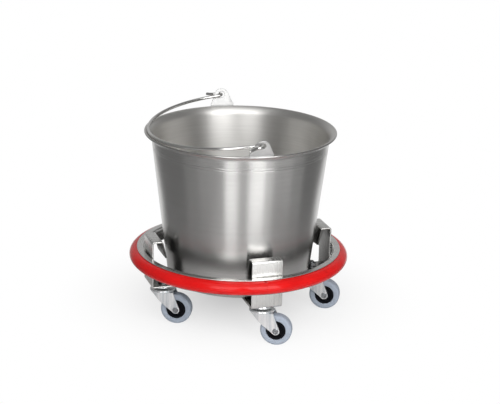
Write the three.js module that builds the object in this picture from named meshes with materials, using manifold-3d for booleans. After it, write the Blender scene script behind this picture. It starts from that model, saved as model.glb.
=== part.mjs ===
// Surgical kick bucket: a conical stainless bucket with a wire bail, standing in a rolling ring cart.
// Millimetres, +Z up. The origin is on the floor under the bucket's axis.
// The cart's four brackets stand on -Y (front), +X (right), +Y (back) and -X (left).

import * as THREE from 'three';
import { mergeVertices } from 'three/addons/utils/BufferGeometryUtils.js';
import Module from 'manifold-3d';

const wasm = await Module();
wasm.setup();

// Shared clearances
const SEAT_GAP = 0.3;
const RUN_GAP = 0.4;

// Bucket
const BUCKET_HEIGHT = 242.2;
const BUCKET_FOOT_R = 113;
const BUCKET_MOUTH_R = 142.4;
const BUCKET_SHEET = 1.2;
const BUCKET_CORNER_R = 8;
const BUCKET_TURN = THREE.MathUtils.degToRad(-5.4);
const LIP_OVERHANG = 9.9;
const LIP_CURL_R = 1.7;
const LIP_TILT = THREE.MathUtils.degToRad(15);
const LIP_CURL_TURN = THREE.MathUtils.degToRad(255);

// Ears and bail
const EAR_WIDTH = 40;
const EAR_HEIGHT = 28.4;
const EAR_CROWN_R = 11.5;
const EAR_SHEET = 2;
const EAR_LEAN = THREE.MathUtils.degToRad(20);
const EAR_HOLE_HEIGHT = 18.3;
const EAR_HOLE_R = 5;
const BAIL_WIRE_R = 2.5;
const BAIL_INSET = 5.8;
const HOOK_INSIDE = 5.2;
const HOOK_OUTSIDE = 7.6;
const HOOK_END_REACH = 24;
const HOOK_END_SPREAD = 6.4;

// Cart brackets, bent from flat strip
const STRIP_WIDTH = 50;
const STRIP_SHEET = 2.5;
const STRIP_BEND_R = 4;
const BRACKET_HEIGHT = 77.5;
const FOOT_REACH = 21;
const GUIDE_DEPTH = 18;
const GUIDE_DROP = 28;
const GUIDE_SLANT = THREE.MathUtils.degToRad(13);
const GUIDE_CLEARANCE = 7;

// Ring channel and bumper
const RING_HEIGHT = 24.5;
const RING_FLANGE = 10;
const RING_SHEET = 1.5;
const RING_ABOVE_FOOT = 27.5;
const BUMPER_BULGE = 13;
const BUMPER_JOINT_GAP = 0.6;
const BUMPER_JOINT_ANGLE = THREE.MathUtils.degToRad(-92.5);

// Casters
const CASTER_HEADING = THREE.MathUtils.degToRad(-26);
const CASTER_TRAIL = 23.5;
const WHEEL_R = 25;
const WHEEL_WIDTH = 18;
const TREAD_SHOULDER_R = 4;
const HUB_R = 15.4;
const HUB_RIM = 2.6;
const HUB_WEB_WIDTH = 8;
const HUB_BOSS_R = 7.5;
const HUB_RECESS = 1.2;
const HUB_DRAFT = 1;
const BUSH_WALL = 1.2;
const AXLE_R = 3;
const AXLE_HEAD_R = 4.6;
const AXLE_HEAD_HEIGHT = 2.4;
const AXLE_NUT_ACROSS = 10;
const AXLE_NUT_HEIGHT = 5;
const FORK_SHEET = 2;
const FORK_HEAD_R = 20;
const FORK_HEAD_RIM = 3;
const FORK_NECK_STEP = 0.8;
const FORK_NECK_SPREAD = 2;
const FORK_HEEL_DROP = 3;
const FORK_EYE_R = 6.3;
const FORK_SIDE_GAP = 1.2;
const FORK_CROWN_GAP = 6;
const FORK_WEB_GAP = 3;
const FORK_WEB_ANGLE = THREE.MathUtils.degToRad(152);
const BALL_R = 2.2;
const BALL_CIRCLE_R = 11.5;
const BALL_COUNT = 6;
const CAGE_WIDTH = 2.6;
const CAGE_HEIGHT = 1.4;
const CAP_SHEET = 2.7;
const CAP_SKIRT = 2;
const KINGPIN_R = 4;
const KINGPIN_HEAD_R = 7;
const KINGPIN_HEAD_HEIGHT = 3.5;
const KINGPIN_END = 2.5;
const KINGPIN_NUT_ACROSS = 13;
const KINGPIN_NUT_HEIGHT = 6.5;
const KINGPIN_NUT_CLEARANCE = 4.6;
const WASHER_R = 7.4;
const WASHER_HEIGHT = 2;

// Facets of the round pieces
const BUCKET_SIDES = 40;
const RING_SIDES = 48;
const TREAD_SIDES = 20;
const HUB_SIDES = 14;
const FORK_SIDES = 16;
const SMALL_SIDES = 8;
const WIRE_SIDES = 8;

// Heights and radii that follow from the sizes above
const axleZ = WHEEL_R * Math.cos(Math.PI / TREAD_SIDES);
const forkTopZ = 2 * WHEEL_R + FORK_CROWN_GAP + FORK_SHEET;
const ballZ = forkTopZ + SEAT_GAP + BALL_R;
const capLowZ = ballZ + BALL_R + SEAT_GAP;
const capTopZ = capLowZ + CAP_SHEET;
const footZ = capTopZ + SEAT_GAP;
const footTopZ = footZ + STRIP_SHEET;
const washerZ = footTopZ + SEAT_GAP;
const nutZ = washerZ + WASHER_HEIGHT + SEAT_GAP;
const kingpinEndZ = nutZ + KINGPIN_NUT_HEIGHT + KINGPIN_END;
const bucketZ = footTopZ + SEAT_GAP;
const lipR = BUCKET_MOUTH_R + LIP_OVERHANG;
const lipZ = bucketZ + BUCKET_HEIGHT;
const bracketTopZ = footZ + BRACKET_HEIGHT;
const wallSlope = (BUCKET_MOUTH_R - BUCKET_FOOT_R) / BUCKET_HEIGHT;
const wallRadius = (z) => BUCKET_FOOT_R + wallSlope * (z - bucketZ);
const guideEndZ = bracketTopZ - GUIDE_DROP;
const guideFace = wallRadius(guideEndZ) + GUIDE_CLEARANCE;
const legFace = guideFace + GUIDE_DROP * Math.tan(GUIDE_SLANT) + GUIDE_DEPTH;
const ringInnerR = (Math.hypot(legFace, STRIP_WIDTH / 2) + SEAT_GAP) / Math.cos(Math.PI / RING_SIDES);
const ringZ = footZ + RING_ABOVE_FOOT;
const nutCornerR = KINGPIN_NUT_ACROSS / Math.sqrt(3);
const casterR = wallRadius(kingpinEndZ) + KINGPIN_NUT_CLEARANCE + nutCornerR;
const bailReach = lipR - BAIL_INSET;

// Finishes, one material for each mesh
const FINISHES = {
  brushedSteel: { color: 0xa9abac, roughness: 0.42, metalness: 0.95 },
  polishedSteel: { color: 0xc9c8c4, roughness: 0.2, metalness: 0.95 },
  zincPlate: { color: 0xd3d8da, roughness: 0.28, metalness: 0.9 },
  redVinyl: { color: 0xdd2424, roughness: 0.25, metalness: 0 },
  greyRubber: { color: 0x9aa4b4, roughness: 0.7, metalness: 0 },
  blackPlastic: { color: 0x121318, roughness: 0.45, metalness: 0 },
};

const direction = (angle) => new THREE.Vector2(Math.cos(angle), Math.sin(angle));

/** Turns a geometry built about +Y so that its Y becomes +Z. */
const upright = (geometry) => geometry.rotateX(Math.PI / 2);

/** Points of an arc that starts at a point with a heading and turns right by an angle. */
function rightArc(start, heading, radius, turn, steps) {
  const centre = start.clone().addScaledVector(direction(heading - Math.PI / 2), radius);
  const points = [];
  for (let i = 1; i <= steps; i += 1) {
    const angle = heading + Math.PI / 2 - (turn * i) / steps;
    points.push(centre.clone().addScaledVector(direction(angle), radius));
  }
  return points;
}

/** A polyline with its inner corners rounded to a radius. */
function roundCorners(points, radius, steps) {
  const rounded = [points[0]];
  for (let i = 1; i < points.length - 1; i += 1) {
    const before = points[i - 1].clone().sub(points[i]).normalize();
    const after = points[i + 1].clone().sub(points[i]).normalize();
    const half = before.angleTo(after) / 2;
    const inset = radius / Math.tan(half);
    const middle = before.clone().add(after).normalize();
    const centre = points[i].clone().addScaledVector(middle, radius / Math.sin(half));
    const from = points[i].clone().addScaledVector(before, inset).sub(centre);
    const sweep = Math.PI - 2 * half;
    const sign = Math.sign(before.cross(after));
    for (let k = 0; k <= steps; k += 1) {
      const arm = from.clone().rotateAround(new THREE.Vector2(), (-sign * sweep * k) / steps);
      rounded.push(centre.clone().add(arm));
    }
  }
  rounded.push(points.at(-1));
  return rounded;
}

/** The closed outline of a sheet of even thickness laid along a polyline. */
function sheetOutline(path, thickness) {
  const left = [];
  const right = [];
  path.forEach((point, i) => {
    const into = point.clone().sub(path[Math.max(i - 1, 0)]).normalize();
    const out = path[Math.min(i + 1, path.length - 1)].clone().sub(point).normalize();
    const tangent = into.add(out).normalize();
    const from = path[i > 0 ? i - 1 : 1];
    const segment = point.clone().sub(from).normalize();
    const reach = thickness / 2 / Math.abs(segment.dot(tangent));
    const normal = new THREE.Vector2(-tangent.y, tangent.x);
    left.push(point.clone().addScaledVector(normal, reach));
    right.push(point.clone().addScaledVector(normal, -reach));
  });
  return [...right, ...left.reverse()];
}

/** A ring or a solid of revolution about Z from a closed outline of radius and height. */
function revolve(outline, sides, turn = 0) {
  const touchesAxis = Math.abs(outline[0].x) < 1e-6;
  const profile = THREE.ShapeUtils.area(outline) > 0 ? outline : [...outline].reverse();
  const closed = touchesAxis ? profile : [...profile, profile[0]];
  return upright(new THREE.LatheGeometry(closed, sides)).rotateZ(turn);
}

/** A plain ring or disc about Z between two radii and two heights. */
function disc(innerR, outerR, bottom, top, sides, turn = 0) {
  const outline = [[innerR, bottom], [outerR, bottom], [outerR, top], [innerR, top]];
  return revolve(outline.map(([r, z]) => new THREE.Vector2(r, z)), sides, turn);
}

/** An outline in X and Z carried a width along Y, centred on the XZ plane. */
function extrudeAcross(shape, width, curveSegments = 6) {
  const settings = { depth: width, bevelEnabled: false, curveSegments };
  return upright(new THREE.ExtrudeGeometry(shape, settings)).translate(0, width / 2, 0);
}

/** A hexagonal nut about Z with a round bore. */
function hexNut(across, height, boreR) {
  const shape = new THREE.Shape();
  for (let i = 0; i < 6; i += 1) {
    const corner = direction((i * Math.PI) / 3).multiplyScalar(across / Math.sqrt(3));
    shape[i === 0 ? 'moveTo' : 'lineTo'](corner.x, corner.y);
  }
  shape.closePath();
  shape.holes.push(new THREE.Path().absarc(0, 0, boreR, 0, 2 * Math.PI, true));
  return new THREE.ExtrudeGeometry(shape, { depth: height, bevelEnabled: false, curveSegments: 6 });
}

/** A closed geometry as a solid that can be joined and cut. */
function solid(geometry) {
  const bare = geometry.clone();
  bare.deleteAttribute('normal');
  bare.deleteAttribute('uv');
  const merged = mergeVertices(bare, 1e-4);
  const index = merged.index.array;
  const kept = [];
  for (let i = 0; i < index.length; i += 3) {
    const [a, b, c] = index.slice(i, i + 3);
    if (a !== b && b !== c && c !== a) kept.push(a, b, c);
  }
  const vertProperties = new Float32Array(merged.attributes.position.array);
  const triVerts = new Uint32Array(kept);
  return new wasm.Manifold(new wasm.Mesh({ numProp: 3, vertProperties, triVerts }));
}

/** The geometry of a joined or cut solid. */
function geometryOf(manifold) {
  const mesh = manifold.getMesh();
  const geometry = new THREE.BufferGeometry();
  geometry.setAttribute('position', new THREE.BufferAttribute(mesh.vertProperties, 3));
  geometry.setIndex(new THREE.BufferAttribute(mesh.triVerts, 1));
  return geometry;
}

/** A mesh with a name and a finish. */
function piece(name, geometry, finish) {
  const mesh = new THREE.Mesh(geometry, new THREE.MeshStandardMaterial(FINISHES[finish]));
  mesh.name = name;
  return mesh;
}

// The lip: the wall flares out along one arc and ends in a small curl at its edge
const wallTilt = Math.PI / 2 - Math.atan(wallSlope);
const lipMiddle = BUCKET_SHEET / 2 / Math.sin(wallTilt);
const flareRun = Math.sin(wallTilt) - Math.sin(LIP_TILT);
const flareRise = Math.cos(LIP_TILT) - Math.cos(wallTilt);
const flareEndR = lipR - BUCKET_SHEET / 2 - LIP_CURL_R * (1 + Math.sin(LIP_TILT));
const flareEndZ = lipZ - BUCKET_SHEET / 2 - LIP_CURL_R * (1 - Math.cos(LIP_TILT));
const wallAtFlareEnd = wallRadius(flareEndZ) - lipMiddle;
const flareR = (flareEndR - wallAtFlareEnd) / (flareRun - wallSlope * flareRise);
const flareStart = new THREE.Vector2(flareEndR - flareR * flareRun, flareEndZ - flareR * flareRise);
const flareCentre = flareStart.clone().addScaledVector(direction(wallTilt - Math.PI / 2), flareR);

function bucketShell() {
  const floorZ = bucketZ + BUCKET_SHEET / 2;
  const cornerR = BUCKET_FOOT_R - lipMiddle + (wallSlope * BUCKET_SHEET) / 2;
  const floor = [new THREE.Vector2(0, floorZ), new THREE.Vector2(cornerR, floorZ), flareStart];
  const wall = roundCorners(floor, BUCKET_CORNER_R - BUCKET_SHEET / 2, 2);
  const flare = rightArc(flareStart, wallTilt, flareR, wallTilt - LIP_TILT, 3);
  const curl = rightArc(flare.at(-1), LIP_TILT, LIP_CURL_R, LIP_CURL_TURN, 6);
  const outline = sheetOutline([...wall, ...flare, ...curl], BUCKET_SHEET);
  return revolve(outline, BUCKET_SIDES);
}

// The ears stand on the crown of the curl and lean outward
const earR = lipR - LIP_CURL_R - BUCKET_SHEET / 2;
const earZ = lipZ + SEAT_GAP + (EAR_SHEET / 2) * Math.sin(EAR_LEAN);
const hingeR = earR + EAR_HOLE_HEIGHT * Math.sin(EAR_LEAN);
const hingeZ = earZ + EAR_HOLE_HEIGHT * Math.cos(EAR_LEAN);

/** A lug with sloping sides that run into its round crown, with the bail's hole. */
function ear(side) {
  const crownZ = EAR_HEIGHT - EAR_CROWN_R;
  const foot = Math.hypot(EAR_WIDTH / 2, crownZ);
  const tangent = Math.acos(EAR_CROWN_R / foot) - Math.atan2(crownZ, EAR_WIDTH / 2);
  const shape = new THREE.Shape();
  shape.moveTo(-EAR_WIDTH / 2, 0);
  shape.lineTo(EAR_WIDTH / 2, 0);
  shape.absarc(0, crownZ, EAR_CROWN_R, tangent, Math.PI - tangent, false);
  shape.closePath();
  shape.holes.push(new THREE.Path().absarc(0, EAR_HOLE_HEIGHT, EAR_HOLE_R, 0, 2 * Math.PI, true));
  const plate = extrudeAcross(shape, EAR_SHEET, 8).rotateX(EAR_LEAN).translate(0, -earR, earZ);
  return plate.rotateZ(side === 'front' ? 0 : Math.PI);
}

// The bail rests on the flare: its wire, with the seat gap, touches the flare's arc
const restReach = flareR + BUCKET_SHEET / 2 + BAIL_WIRE_R + SEAT_GAP;
const flareArm = new THREE.Vector2(flareCentre.x, hingeZ - flareCentre.y);
const restCosine =
  (bailReach ** 2 + flareArm.lengthSq() - restReach ** 2) / (2 * bailReach * flareArm.length());
const bailRest = flareArm.angle() - Math.acos(restCosine);

/** A path through given points, one step from each point to the next. */
class WirePath extends THREE.Curve {
  constructor(points) {
    super();
    this.points = points;
  }

  getPoint(t, target = new THREE.Vector3()) {
    const place = t * (this.points.length - 1);
    const i = Math.min(Math.floor(place), this.points.length - 2);
    return target.lerpVectors(this.points[i], this.points[i + 1], place - i);
  }

  getTangent(t, target = new THREE.Vector3()) {
    const i = Math.round(t * (this.points.length - 1));
    const before = this.points[Math.max(i - 1, 0)];
    const after = this.points[Math.min(i + 1, this.points.length - 1)];
    return target.subVectors(after, before).normalize();
  }

  getUtoTmapping(u) {
    return u;
  }
}

/** The bail lying to -X: free end, hairpin through the ear, bow, hairpin, free end. */
function bail() {
  const turnR = (HOOK_INSIDE + HOOK_OUTSIDE) / 2;
  const turnY = hingeR + (HOOK_OUTSIDE - HOOK_INSIDE) / 2;
  const half = [[HOOK_END_REACH, hingeR + HOOK_OUTSIDE + HOOK_END_SPREAD]];
  const turnSteps = 7;
  for (let i = 0; i <= turnSteps; i += 1) {
    const arm = direction(Math.PI / 2 + (Math.PI * i) / turnSteps).multiplyScalar(turnR);
    half.push([turnR + arm.x, turnY + arm.y]);
  }
  const bowSteps = 11;
  for (let i = 1; i <= bowSteps; i += 1) {
    const arm = direction((Math.PI / 2) * (1 - i / bowSteps));
    half.push([turnR + (bailReach - turnR) * arm.x, (hingeR - HOOK_INSIDE) * arm.y]);
  }
  const other = half.slice(0, -1).reverse();
  const route = [...half.map(([u, y]) => [u, -y]), ...other];
  const place = ([u, y]) =>
    new THREE.Vector3(-u * Math.cos(bailRest), y, hingeZ - u * Math.sin(bailRest));
  const wire = new THREE.Shape().absarc(0, 0, BAIL_WIRE_R, 0, 2 * Math.PI, false);
  const settings = {
    steps: route.length - 1,
    curveSegments: WIRE_SIDES / 2,
    extrudePath: new WirePath(route.map(place)),
  };
  return new THREE.ExtrudeGeometry(wire, settings);
}

function bucketGroup() {
  const group = new THREE.Group();
  group.rotation.z = BUCKET_TURN;
  group.add(
    piece('bucket_shell', bucketShell(), 'brushedSteel'),
    piece('ear_front', ear('front'), 'brushedSteel'),
    piece('ear_back', ear('back'), 'brushedSteel'),
    piece('bail', bail(), 'polishedSteel'),
  );
  return group;
}

/** The channel of the cart's ring, open outward. */
function ringChannel() {
  const webR = ringInnerR + RING_SHEET / 2;
  const flangeR = ringInnerR + RING_FLANGE;
  const low = ringZ + RING_SHEET / 2;
  const high = ringZ + RING_HEIGHT - RING_SHEET / 2;
  const path = [[flangeR, low], [webR, low], [webR, high], [flangeR, high]];
  return revolve(sheetOutline(path.map(([r, z]) => new THREE.Vector2(r, z)), RING_SHEET), RING_SIDES);
}

/** The D-section strip in the channel, with the narrow butt joint of its two ends. */
function bumper() {
  const rootR = ringInnerR + RING_SHEET + SEAT_GAP;
  const faceR = ringInnerR + RING_FLANGE;
  const middleZ = ringZ + RING_HEIGHT / 2;
  const halfHeight = RING_HEIGHT / 2 - RING_SHEET - SEAT_GAP;
  const outline = [new THREE.Vector2(rootR, middleZ - halfHeight)];
  const bulgeSteps = 7;
  for (let i = 0; i <= bulgeSteps; i += 1) {
    const arm = direction(-Math.PI / 2 + (Math.PI * i) / bulgeSteps);
    outline.push(new THREE.Vector2(faceR + BUMPER_BULGE * arm.x, middleZ + halfHeight * arm.y));
  }
  outline.push(new THREE.Vector2(rootR, middleZ + halfHeight));
  const slotLength = faceR + BUMPER_BULGE + RING_FLANGE - rootR;
  const slot = new THREE.BoxGeometry(slotLength, BUMPER_JOINT_GAP, RING_HEIGHT);
  slot.translate(rootR - RING_FLANGE / 2 + slotLength / 2, 0, middleZ).rotateZ(BUMPER_JOINT_ANGLE);
  return geometryOf(solid(revolve(outline, RING_SIDES)).subtract(solid(slot)));
}

/** One bent strip, standing on +X: foot under the bucket, outer leg, top and slanted guide leg. */
function bracket() {
  const middle = STRIP_SHEET / 2;
  const legR = legFace - middle;
  const topZ = bracketTopZ - middle;
  const guideR = legFace - GUIDE_DEPTH + middle;
  const corners = [
    [BUCKET_FOOT_R - FOOT_REACH, footZ + middle],
    [legR, footZ + middle],
    [legR, topZ],
    [guideR, topZ],
    [guideFace + middle, guideEndZ],
  ].map(([r, z]) => new THREE.Vector2(r, z));
  const path = roundCorners(corners, STRIP_BEND_R - middle, 3);
  const strip = extrudeAcross(new THREE.Shape(sheetOutline(path, STRIP_SHEET)), STRIP_WIDTH);
  const boltHole = new THREE.CylinderGeometry(
    KINGPIN_R + RUN_GAP, KINGPIN_R + RUN_GAP, 3 * STRIP_SHEET, SMALL_SIDES,
  );
  upright(boltHole).translate(casterR, 0, footZ + middle);
  return geometryOf(solid(strip).subtract(solid(boltHole)));
}

// Widths in a caster, from the wheel out to the fork's legs
const legInsideY = WHEEL_WIDTH / 2 + FORK_SIDE_GAP;
const legOutsideY = legInsideY + FORK_SHEET;
const bushR = AXLE_R + RUN_GAP + BUSH_WALL;

/** The angle at which a line from a point touches a circle, on its right or left side. */
function touchAngle(point, centre, radius, side) {
  const arm = point.clone().sub(centre);
  return arm.angle() + side * Math.acos(radius / arm.length());
}

/** A solid through sections of equal point count, from the top section down, closed by fans. */
function loft(sections) {
  const count = sections[0].length;
  const positions = [];
  for (let level = 0; level < sections.length - 1; level += 1) {
    for (let i = 0; i < count; i += 1) {
      const next = (i + 1) % count;
      const [a, b] = [sections[level][i], sections[level][next]];
      const [c, d] = [sections[level + 1][i], sections[level + 1][next]];
      positions.push(a, c, b, b, c, d);
    }
  }
  const addFan = (ring, up) => {
    const middle = ring.reduce((sum, point) => sum.add(point), new THREE.Vector3()).divideScalar(count);
    ring.forEach((point, i) => {
      const next = ring[(i + 1) % count];
      positions.push(middle, up ? point : next, up ? next : point);
    });
  };
  addFan(sections[0], true);
  addFan(sections.at(-1), false);
  return mergeVertices(new THREE.BufferGeometry().setFromPoints(positions), 1e-4);
}

/** One level of the fork: an oval that squares off as its exponent grows. */
function forkSection(height, centreX, halfX, halfY, exponent) {
  const points = [];
  for (let i = 0; i < FORK_SIDES; i += 1) {
    const arm = direction((2 * Math.PI * (i + 0.5)) / FORK_SIDES);
    const bulge = (value) => Math.sign(value) * Math.abs(value) ** (2 / exponent);
    points.push(new THREE.Vector3(centreX + halfX * bulge(arm.x), halfY * bulge(arm.y), height));
  }
  return points;
}

/** The body that the fork is pressed to, drawn in by an offset: round head, neck and flat legs. */
function forkForm(offset) {
  const neckR = FORK_HEAD_R - FORK_NECK_STEP - offset;
  const headR = offset > 0 ? neckR : FORK_HEAD_R;
  const legY = legOutsideY - offset;
  const neckY = (neckR + 2 * legY) / 3;
  const shoulderZ = (forkTopZ + axleZ) / 2;
  const legReach = CASTER_TRAIL + FORK_HEAD_R - offset;
  return loft([
    forkSection(forkTopZ - offset, 0, headR, headR, 2),
    forkSection(forkTopZ - FORK_HEAD_RIM, 0, headR, headR, 2),
    forkSection(forkTopZ - FORK_HEAD_RIM - FORK_NECK_STEP, 0, neckR, neckR, 2),
    forkSection((forkTopZ + shoulderZ) / 2, FORK_NECK_SPREAD, neckR + FORK_NECK_SPREAD, neckY, 3),
    forkSection(shoulderZ, CASTER_TRAIL / 2, legReach, legY, 8),
    forkSection(axleZ - WHEEL_R, CASTER_TRAIL / 2, legReach, legY, 8),
  ]);
}

/** The pressed fork: a hollow form, trimmed to the leg's side outline, open below and behind. */
function fork() {
  const axle = new THREE.Vector2(CASTER_TRAIL, axleZ);
  const heel = new THREE.Vector2(FORK_HEAD_R, forkTopZ - FORK_HEAD_RIM - FORK_HEEL_DROP);
  const webReach = WHEEL_R + FORK_WEB_GAP + FORK_SHEET;
  const webEnd = axle.clone().addScaledVector(direction(FORK_WEB_ANGLE), webReach);
  const brow = new THREE.Vector2(-FORK_HEAD_R, forkTopZ - FORK_HEAD_RIM);
  const above = forkTopZ + FORK_HEAD_RIM;

  const side = new THREE.Shape();
  side.moveTo(brow.x - FORK_SHEET, above);
  side.lineTo(brow.x - FORK_SHEET, brow.y);
  side.lineTo(brow.x, brow.y);
  side.lineTo(webEnd.x, webEnd.y);
  const lowTouch = touchAngle(webEnd, axle, FORK_EYE_R, 1);
  const heelTouch = touchAngle(heel, axle, FORK_EYE_R, -1);
  side.absarc(axle.x, axle.y, FORK_EYE_R, lowTouch, heelTouch + 2 * Math.PI, false);
  side.lineTo(heel.x, heel.y);
  side.lineTo(heel.x + FORK_SHEET, brow.y);
  side.lineTo(heel.x + FORK_SHEET, above);
  side.closePath();

  const webNormal = webEnd.clone().sub(brow).normalize().rotateAround(new THREE.Vector2(), Math.PI / 2);
  const insideBrow = brow.clone().addScaledVector(webNormal, FORK_SHEET);
  const insideEnd = webEnd.clone().addScaledVector(webNormal, FORK_SHEET);
  const reach = 2 * (FORK_HEAD_R + CASTER_TRAIL);
  const hollow = new THREE.Shape();
  hollow.moveTo(insideBrow.x, insideBrow.y);
  hollow.lineTo(insideEnd.x, insideEnd.y);
  hollow.lineTo(webEnd.x - FORK_SHEET, webEnd.y - FORK_SHEET);
  hollow.lineTo(-reach, webEnd.y - FORK_SHEET);
  hollow.lineTo(-reach, axleZ - reach);
  hollow.lineTo(reach, axleZ - reach);
  hollow.lineTo(reach, above);
  hollow.lineTo(insideBrow.x, above);
  hollow.closePath();

  const body = solid(forkForm(0)).intersect(solid(extrudeAcross(side, 4 * FORK_HEAD_R, 4)));
  const inside = solid(forkForm(FORK_SHEET)).intersect(solid(extrudeAcross(hollow, 4 * FORK_HEAD_R)));
  const pinHole = disc(0, KINGPIN_R + RUN_GAP, forkTopZ - 2 * FORK_SHEET, above, SMALL_SIDES);
  const axleHole = new THREE.CylinderGeometry(
    AXLE_R + RUN_GAP, AXLE_R + RUN_GAP, 4 * legOutsideY, SMALL_SIDES,
  );
  axleHole.translate(axle.x, 0, axle.y);
  return geometryOf(body.subtract(inside).subtract(solid(pinHole)).subtract(solid(axleHole)));
}

/** Balls held in a flat cage, as one ring. */
function ballRing() {
  const cage = disc(
    BALL_CIRCLE_R - CAGE_WIDTH / 2, BALL_CIRCLE_R + CAGE_WIDTH / 2,
    ballZ - CAGE_HEIGHT / 2, ballZ + CAGE_HEIGHT / 2, HUB_SIDES,
  );
  let ring = solid(cage);
  for (let i = 0; i < BALL_COUNT; i += 1) {
    const spot = direction((2 * Math.PI * i) / BALL_COUNT).multiplyScalar(BALL_CIRCLE_R);
    const ball = upright(new THREE.SphereGeometry(BALL_R, 5, 3)).translate(spot.x, spot.y, ballZ);
    ring = ring.add(solid(ball));
  }
  return geometryOf(ring);
}

/** The fixed upper race: a pressed cup whose skirt hangs round the balls. */
function swivelCap() {
  const boreR = KINGPIN_R + RUN_GAP;
  const skirtR = BALL_CIRCLE_R + BALL_R + RUN_GAP;
  const skirtZ = capLowZ - CAP_SKIRT;
  const outline = [
    [boreR, capLowZ], [skirtR, capLowZ], [skirtR, skirtZ],
    [skirtR + CAP_SHEET, skirtZ], [skirtR + CAP_SHEET / 2, capTopZ], [boreR, capTopZ],
  ];
  return revolve(outline.map(([r, z]) => new THREE.Vector2(r, z)), HUB_SIDES);
}

/** A bolt about Z from its head's underside up, with the head below. */
function bolt(headR, headHeight, shankR, seatZ, endZ) {
  const outline = [
    [0, seatZ - headHeight], [headR - headHeight / 3, seatZ - headHeight],
    [headR, seatZ - headHeight / 2], [headR, seatZ], [shankR, seatZ],
    [shankR, endZ - shankR / 4], [0.75 * shankR, endZ], [0, endZ],
  ];
  return revolve(outline.map(([r, z]) => new THREE.Vector2(r, z)), SMALL_SIDES);
}

/** Lays a piece built about Z along the wheel's axle, with its +Z towards local +Y. */
const onAxle = (geometry) => geometry.rotateX(-Math.PI / 2).translate(CASTER_TRAIL, 0, axleZ);

/** A closed outline from its half at positive heights and that half's mirror image. */
function mirrored(half) {
  const other = half.map(([r, z]) => [r, -z]).reverse();
  return [...half, ...other].map(([r, z]) => new THREE.Vector2(r, z));
}

/** The rubber tread, a ring with round shoulders whose lowest facet lies on the floor. */
function tread() {
  const halfWidth = WHEEL_WIDTH / 2;
  const half = [[HUB_R + SEAT_GAP, halfWidth]];
  const shoulderSteps = 2;
  for (let i = 0; i <= shoulderSteps; i += 1) {
    const arm = direction(((Math.PI / 2) * i) / shoulderSteps).multiplyScalar(TREAD_SHOULDER_R);
    half.push([WHEEL_R - TREAD_SHOULDER_R + arm.y, halfWidth - TREAD_SHOULDER_R + arm.x]);
  }
  return onAxle(revolve(mirrored(half), TREAD_SIDES, Math.PI / TREAD_SIDES));
}

/** The plastic hub: rim under the tread, recessed web, and a boss that turns on the bush. */
function hub() {
  const rimHalf = WHEEL_WIDTH / 2 - HUB_RECESS;
  const webHalf = HUB_WEB_WIDTH / 2;
  const boreR = (bushR + RUN_GAP) / Math.cos(Math.PI / HUB_SIDES);
  const outline = mirrored([
    [boreR, WHEEL_WIDTH / 2], [HUB_BOSS_R, WHEEL_WIDTH / 2], [HUB_BOSS_R + HUB_DRAFT, webHalf],
    [HUB_R - HUB_RIM - HUB_DRAFT, webHalf], [HUB_R - HUB_RIM, rimHalf], [HUB_R, rimHalf],
  ]);
  return onAxle(revolve(outline, HUB_SIDES));
}

function casterGroup(name, angle) {
  const group = new THREE.Group();
  const spot = direction(angle).multiplyScalar(casterR);
  group.position.set(spot.x, spot.y, 0);
  group.rotation.z = CASTER_HEADING;
  const headSeatZ = forkTopZ - FORK_SHEET - SEAT_GAP;
  const nutSeat = legOutsideY + SEAT_GAP;
  const bushHalf = legInsideY - SEAT_GAP;
  const kingpin = bolt(KINGPIN_HEAD_R, KINGPIN_HEAD_HEIGHT, KINGPIN_R, headSeatZ, kingpinEndZ);
  const washer = disc(KINGPIN_R + RUN_GAP, WASHER_R, washerZ, washerZ + WASHER_HEIGHT, SMALL_SIDES);
  const nut = hexNut(KINGPIN_NUT_ACROSS, KINGPIN_NUT_HEIGHT, KINGPIN_R + RUN_GAP).translate(0, 0, nutZ);
  const axleEnd = nutSeat + AXLE_NUT_HEIGHT + AXLE_R / 2;
  const axle = bolt(AXLE_HEAD_R, AXLE_HEAD_HEIGHT, AXLE_R, -nutSeat, axleEnd);
  const axleNut = hexNut(AXLE_NUT_ACROSS, AXLE_NUT_HEIGHT, AXLE_R + RUN_GAP).translate(0, 0, nutSeat);
  const bush = disc(AXLE_R + RUN_GAP, bushR, -bushHalf, bushHalf, SMALL_SIDES);
  group.add(
    piece(`swivel_bolt_${name}`, kingpin, 'zincPlate'),
    piece(`spring_washer_${name}`, washer, 'zincPlate'),
    piece(`swivel_nut_${name}`, nut, 'zincPlate'),
    piece(`swivel_cap_${name}`, swivelCap(), 'zincPlate'),
    piece(`ball_ring_${name}`, ballRing(), 'polishedSteel'),
    piece(`fork_${name}`, fork(), 'zincPlate'),
    piece(`axle_bolt_${name}`, onAxle(axle), 'zincPlate'),
    piece(`axle_nut_${name}`, onAxle(axleNut), 'zincPlate'),
    piece(`wheel_bush_${name}`, onAxle(bush), 'zincPlate'),
    piece(`hub_${name}`, hub(), 'blackPlastic'),
    piece(`tread_${name}`, tread(), 'greyRubber'),
  );
  return group;
}

const kickBucket = new THREE.Group();
kickBucket.name = 'kick_bucket';
kickBucket.add(
  bucketGroup(),
  piece('ring_channel', ringChannel(), 'polishedSteel'),
  piece('bumper', bumper(), 'redVinyl'),
);
const CORNERS = { front: -Math.PI / 2, right: 0, back: Math.PI / 2, left: Math.PI };
for (const [name, angle] of Object.entries(CORNERS)) {
  const strip = piece(`bracket_${name}`, bracket(), 'polishedSteel');
  strip.rotation.z = angle;
  kickBucket.add(strip, casterGroup(name, angle));
}

export default kickBucket;
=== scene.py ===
"""Surgical kick bucket: fine surfaces, finishes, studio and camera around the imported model.

Lengths are in millimetres in the classes and become metres when a mesh is made.
The bucket's axis is Z, the floor is at zero, and the photograph's front is on -Y.
"""

from __future__ import annotations

import logging
import math
from dataclasses import dataclass
from enum import Enum
from typing import Any, ClassVar, Sequence

import bmesh
import bpy
import numpy as np
from mathutils import Matrix, Vector

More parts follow.
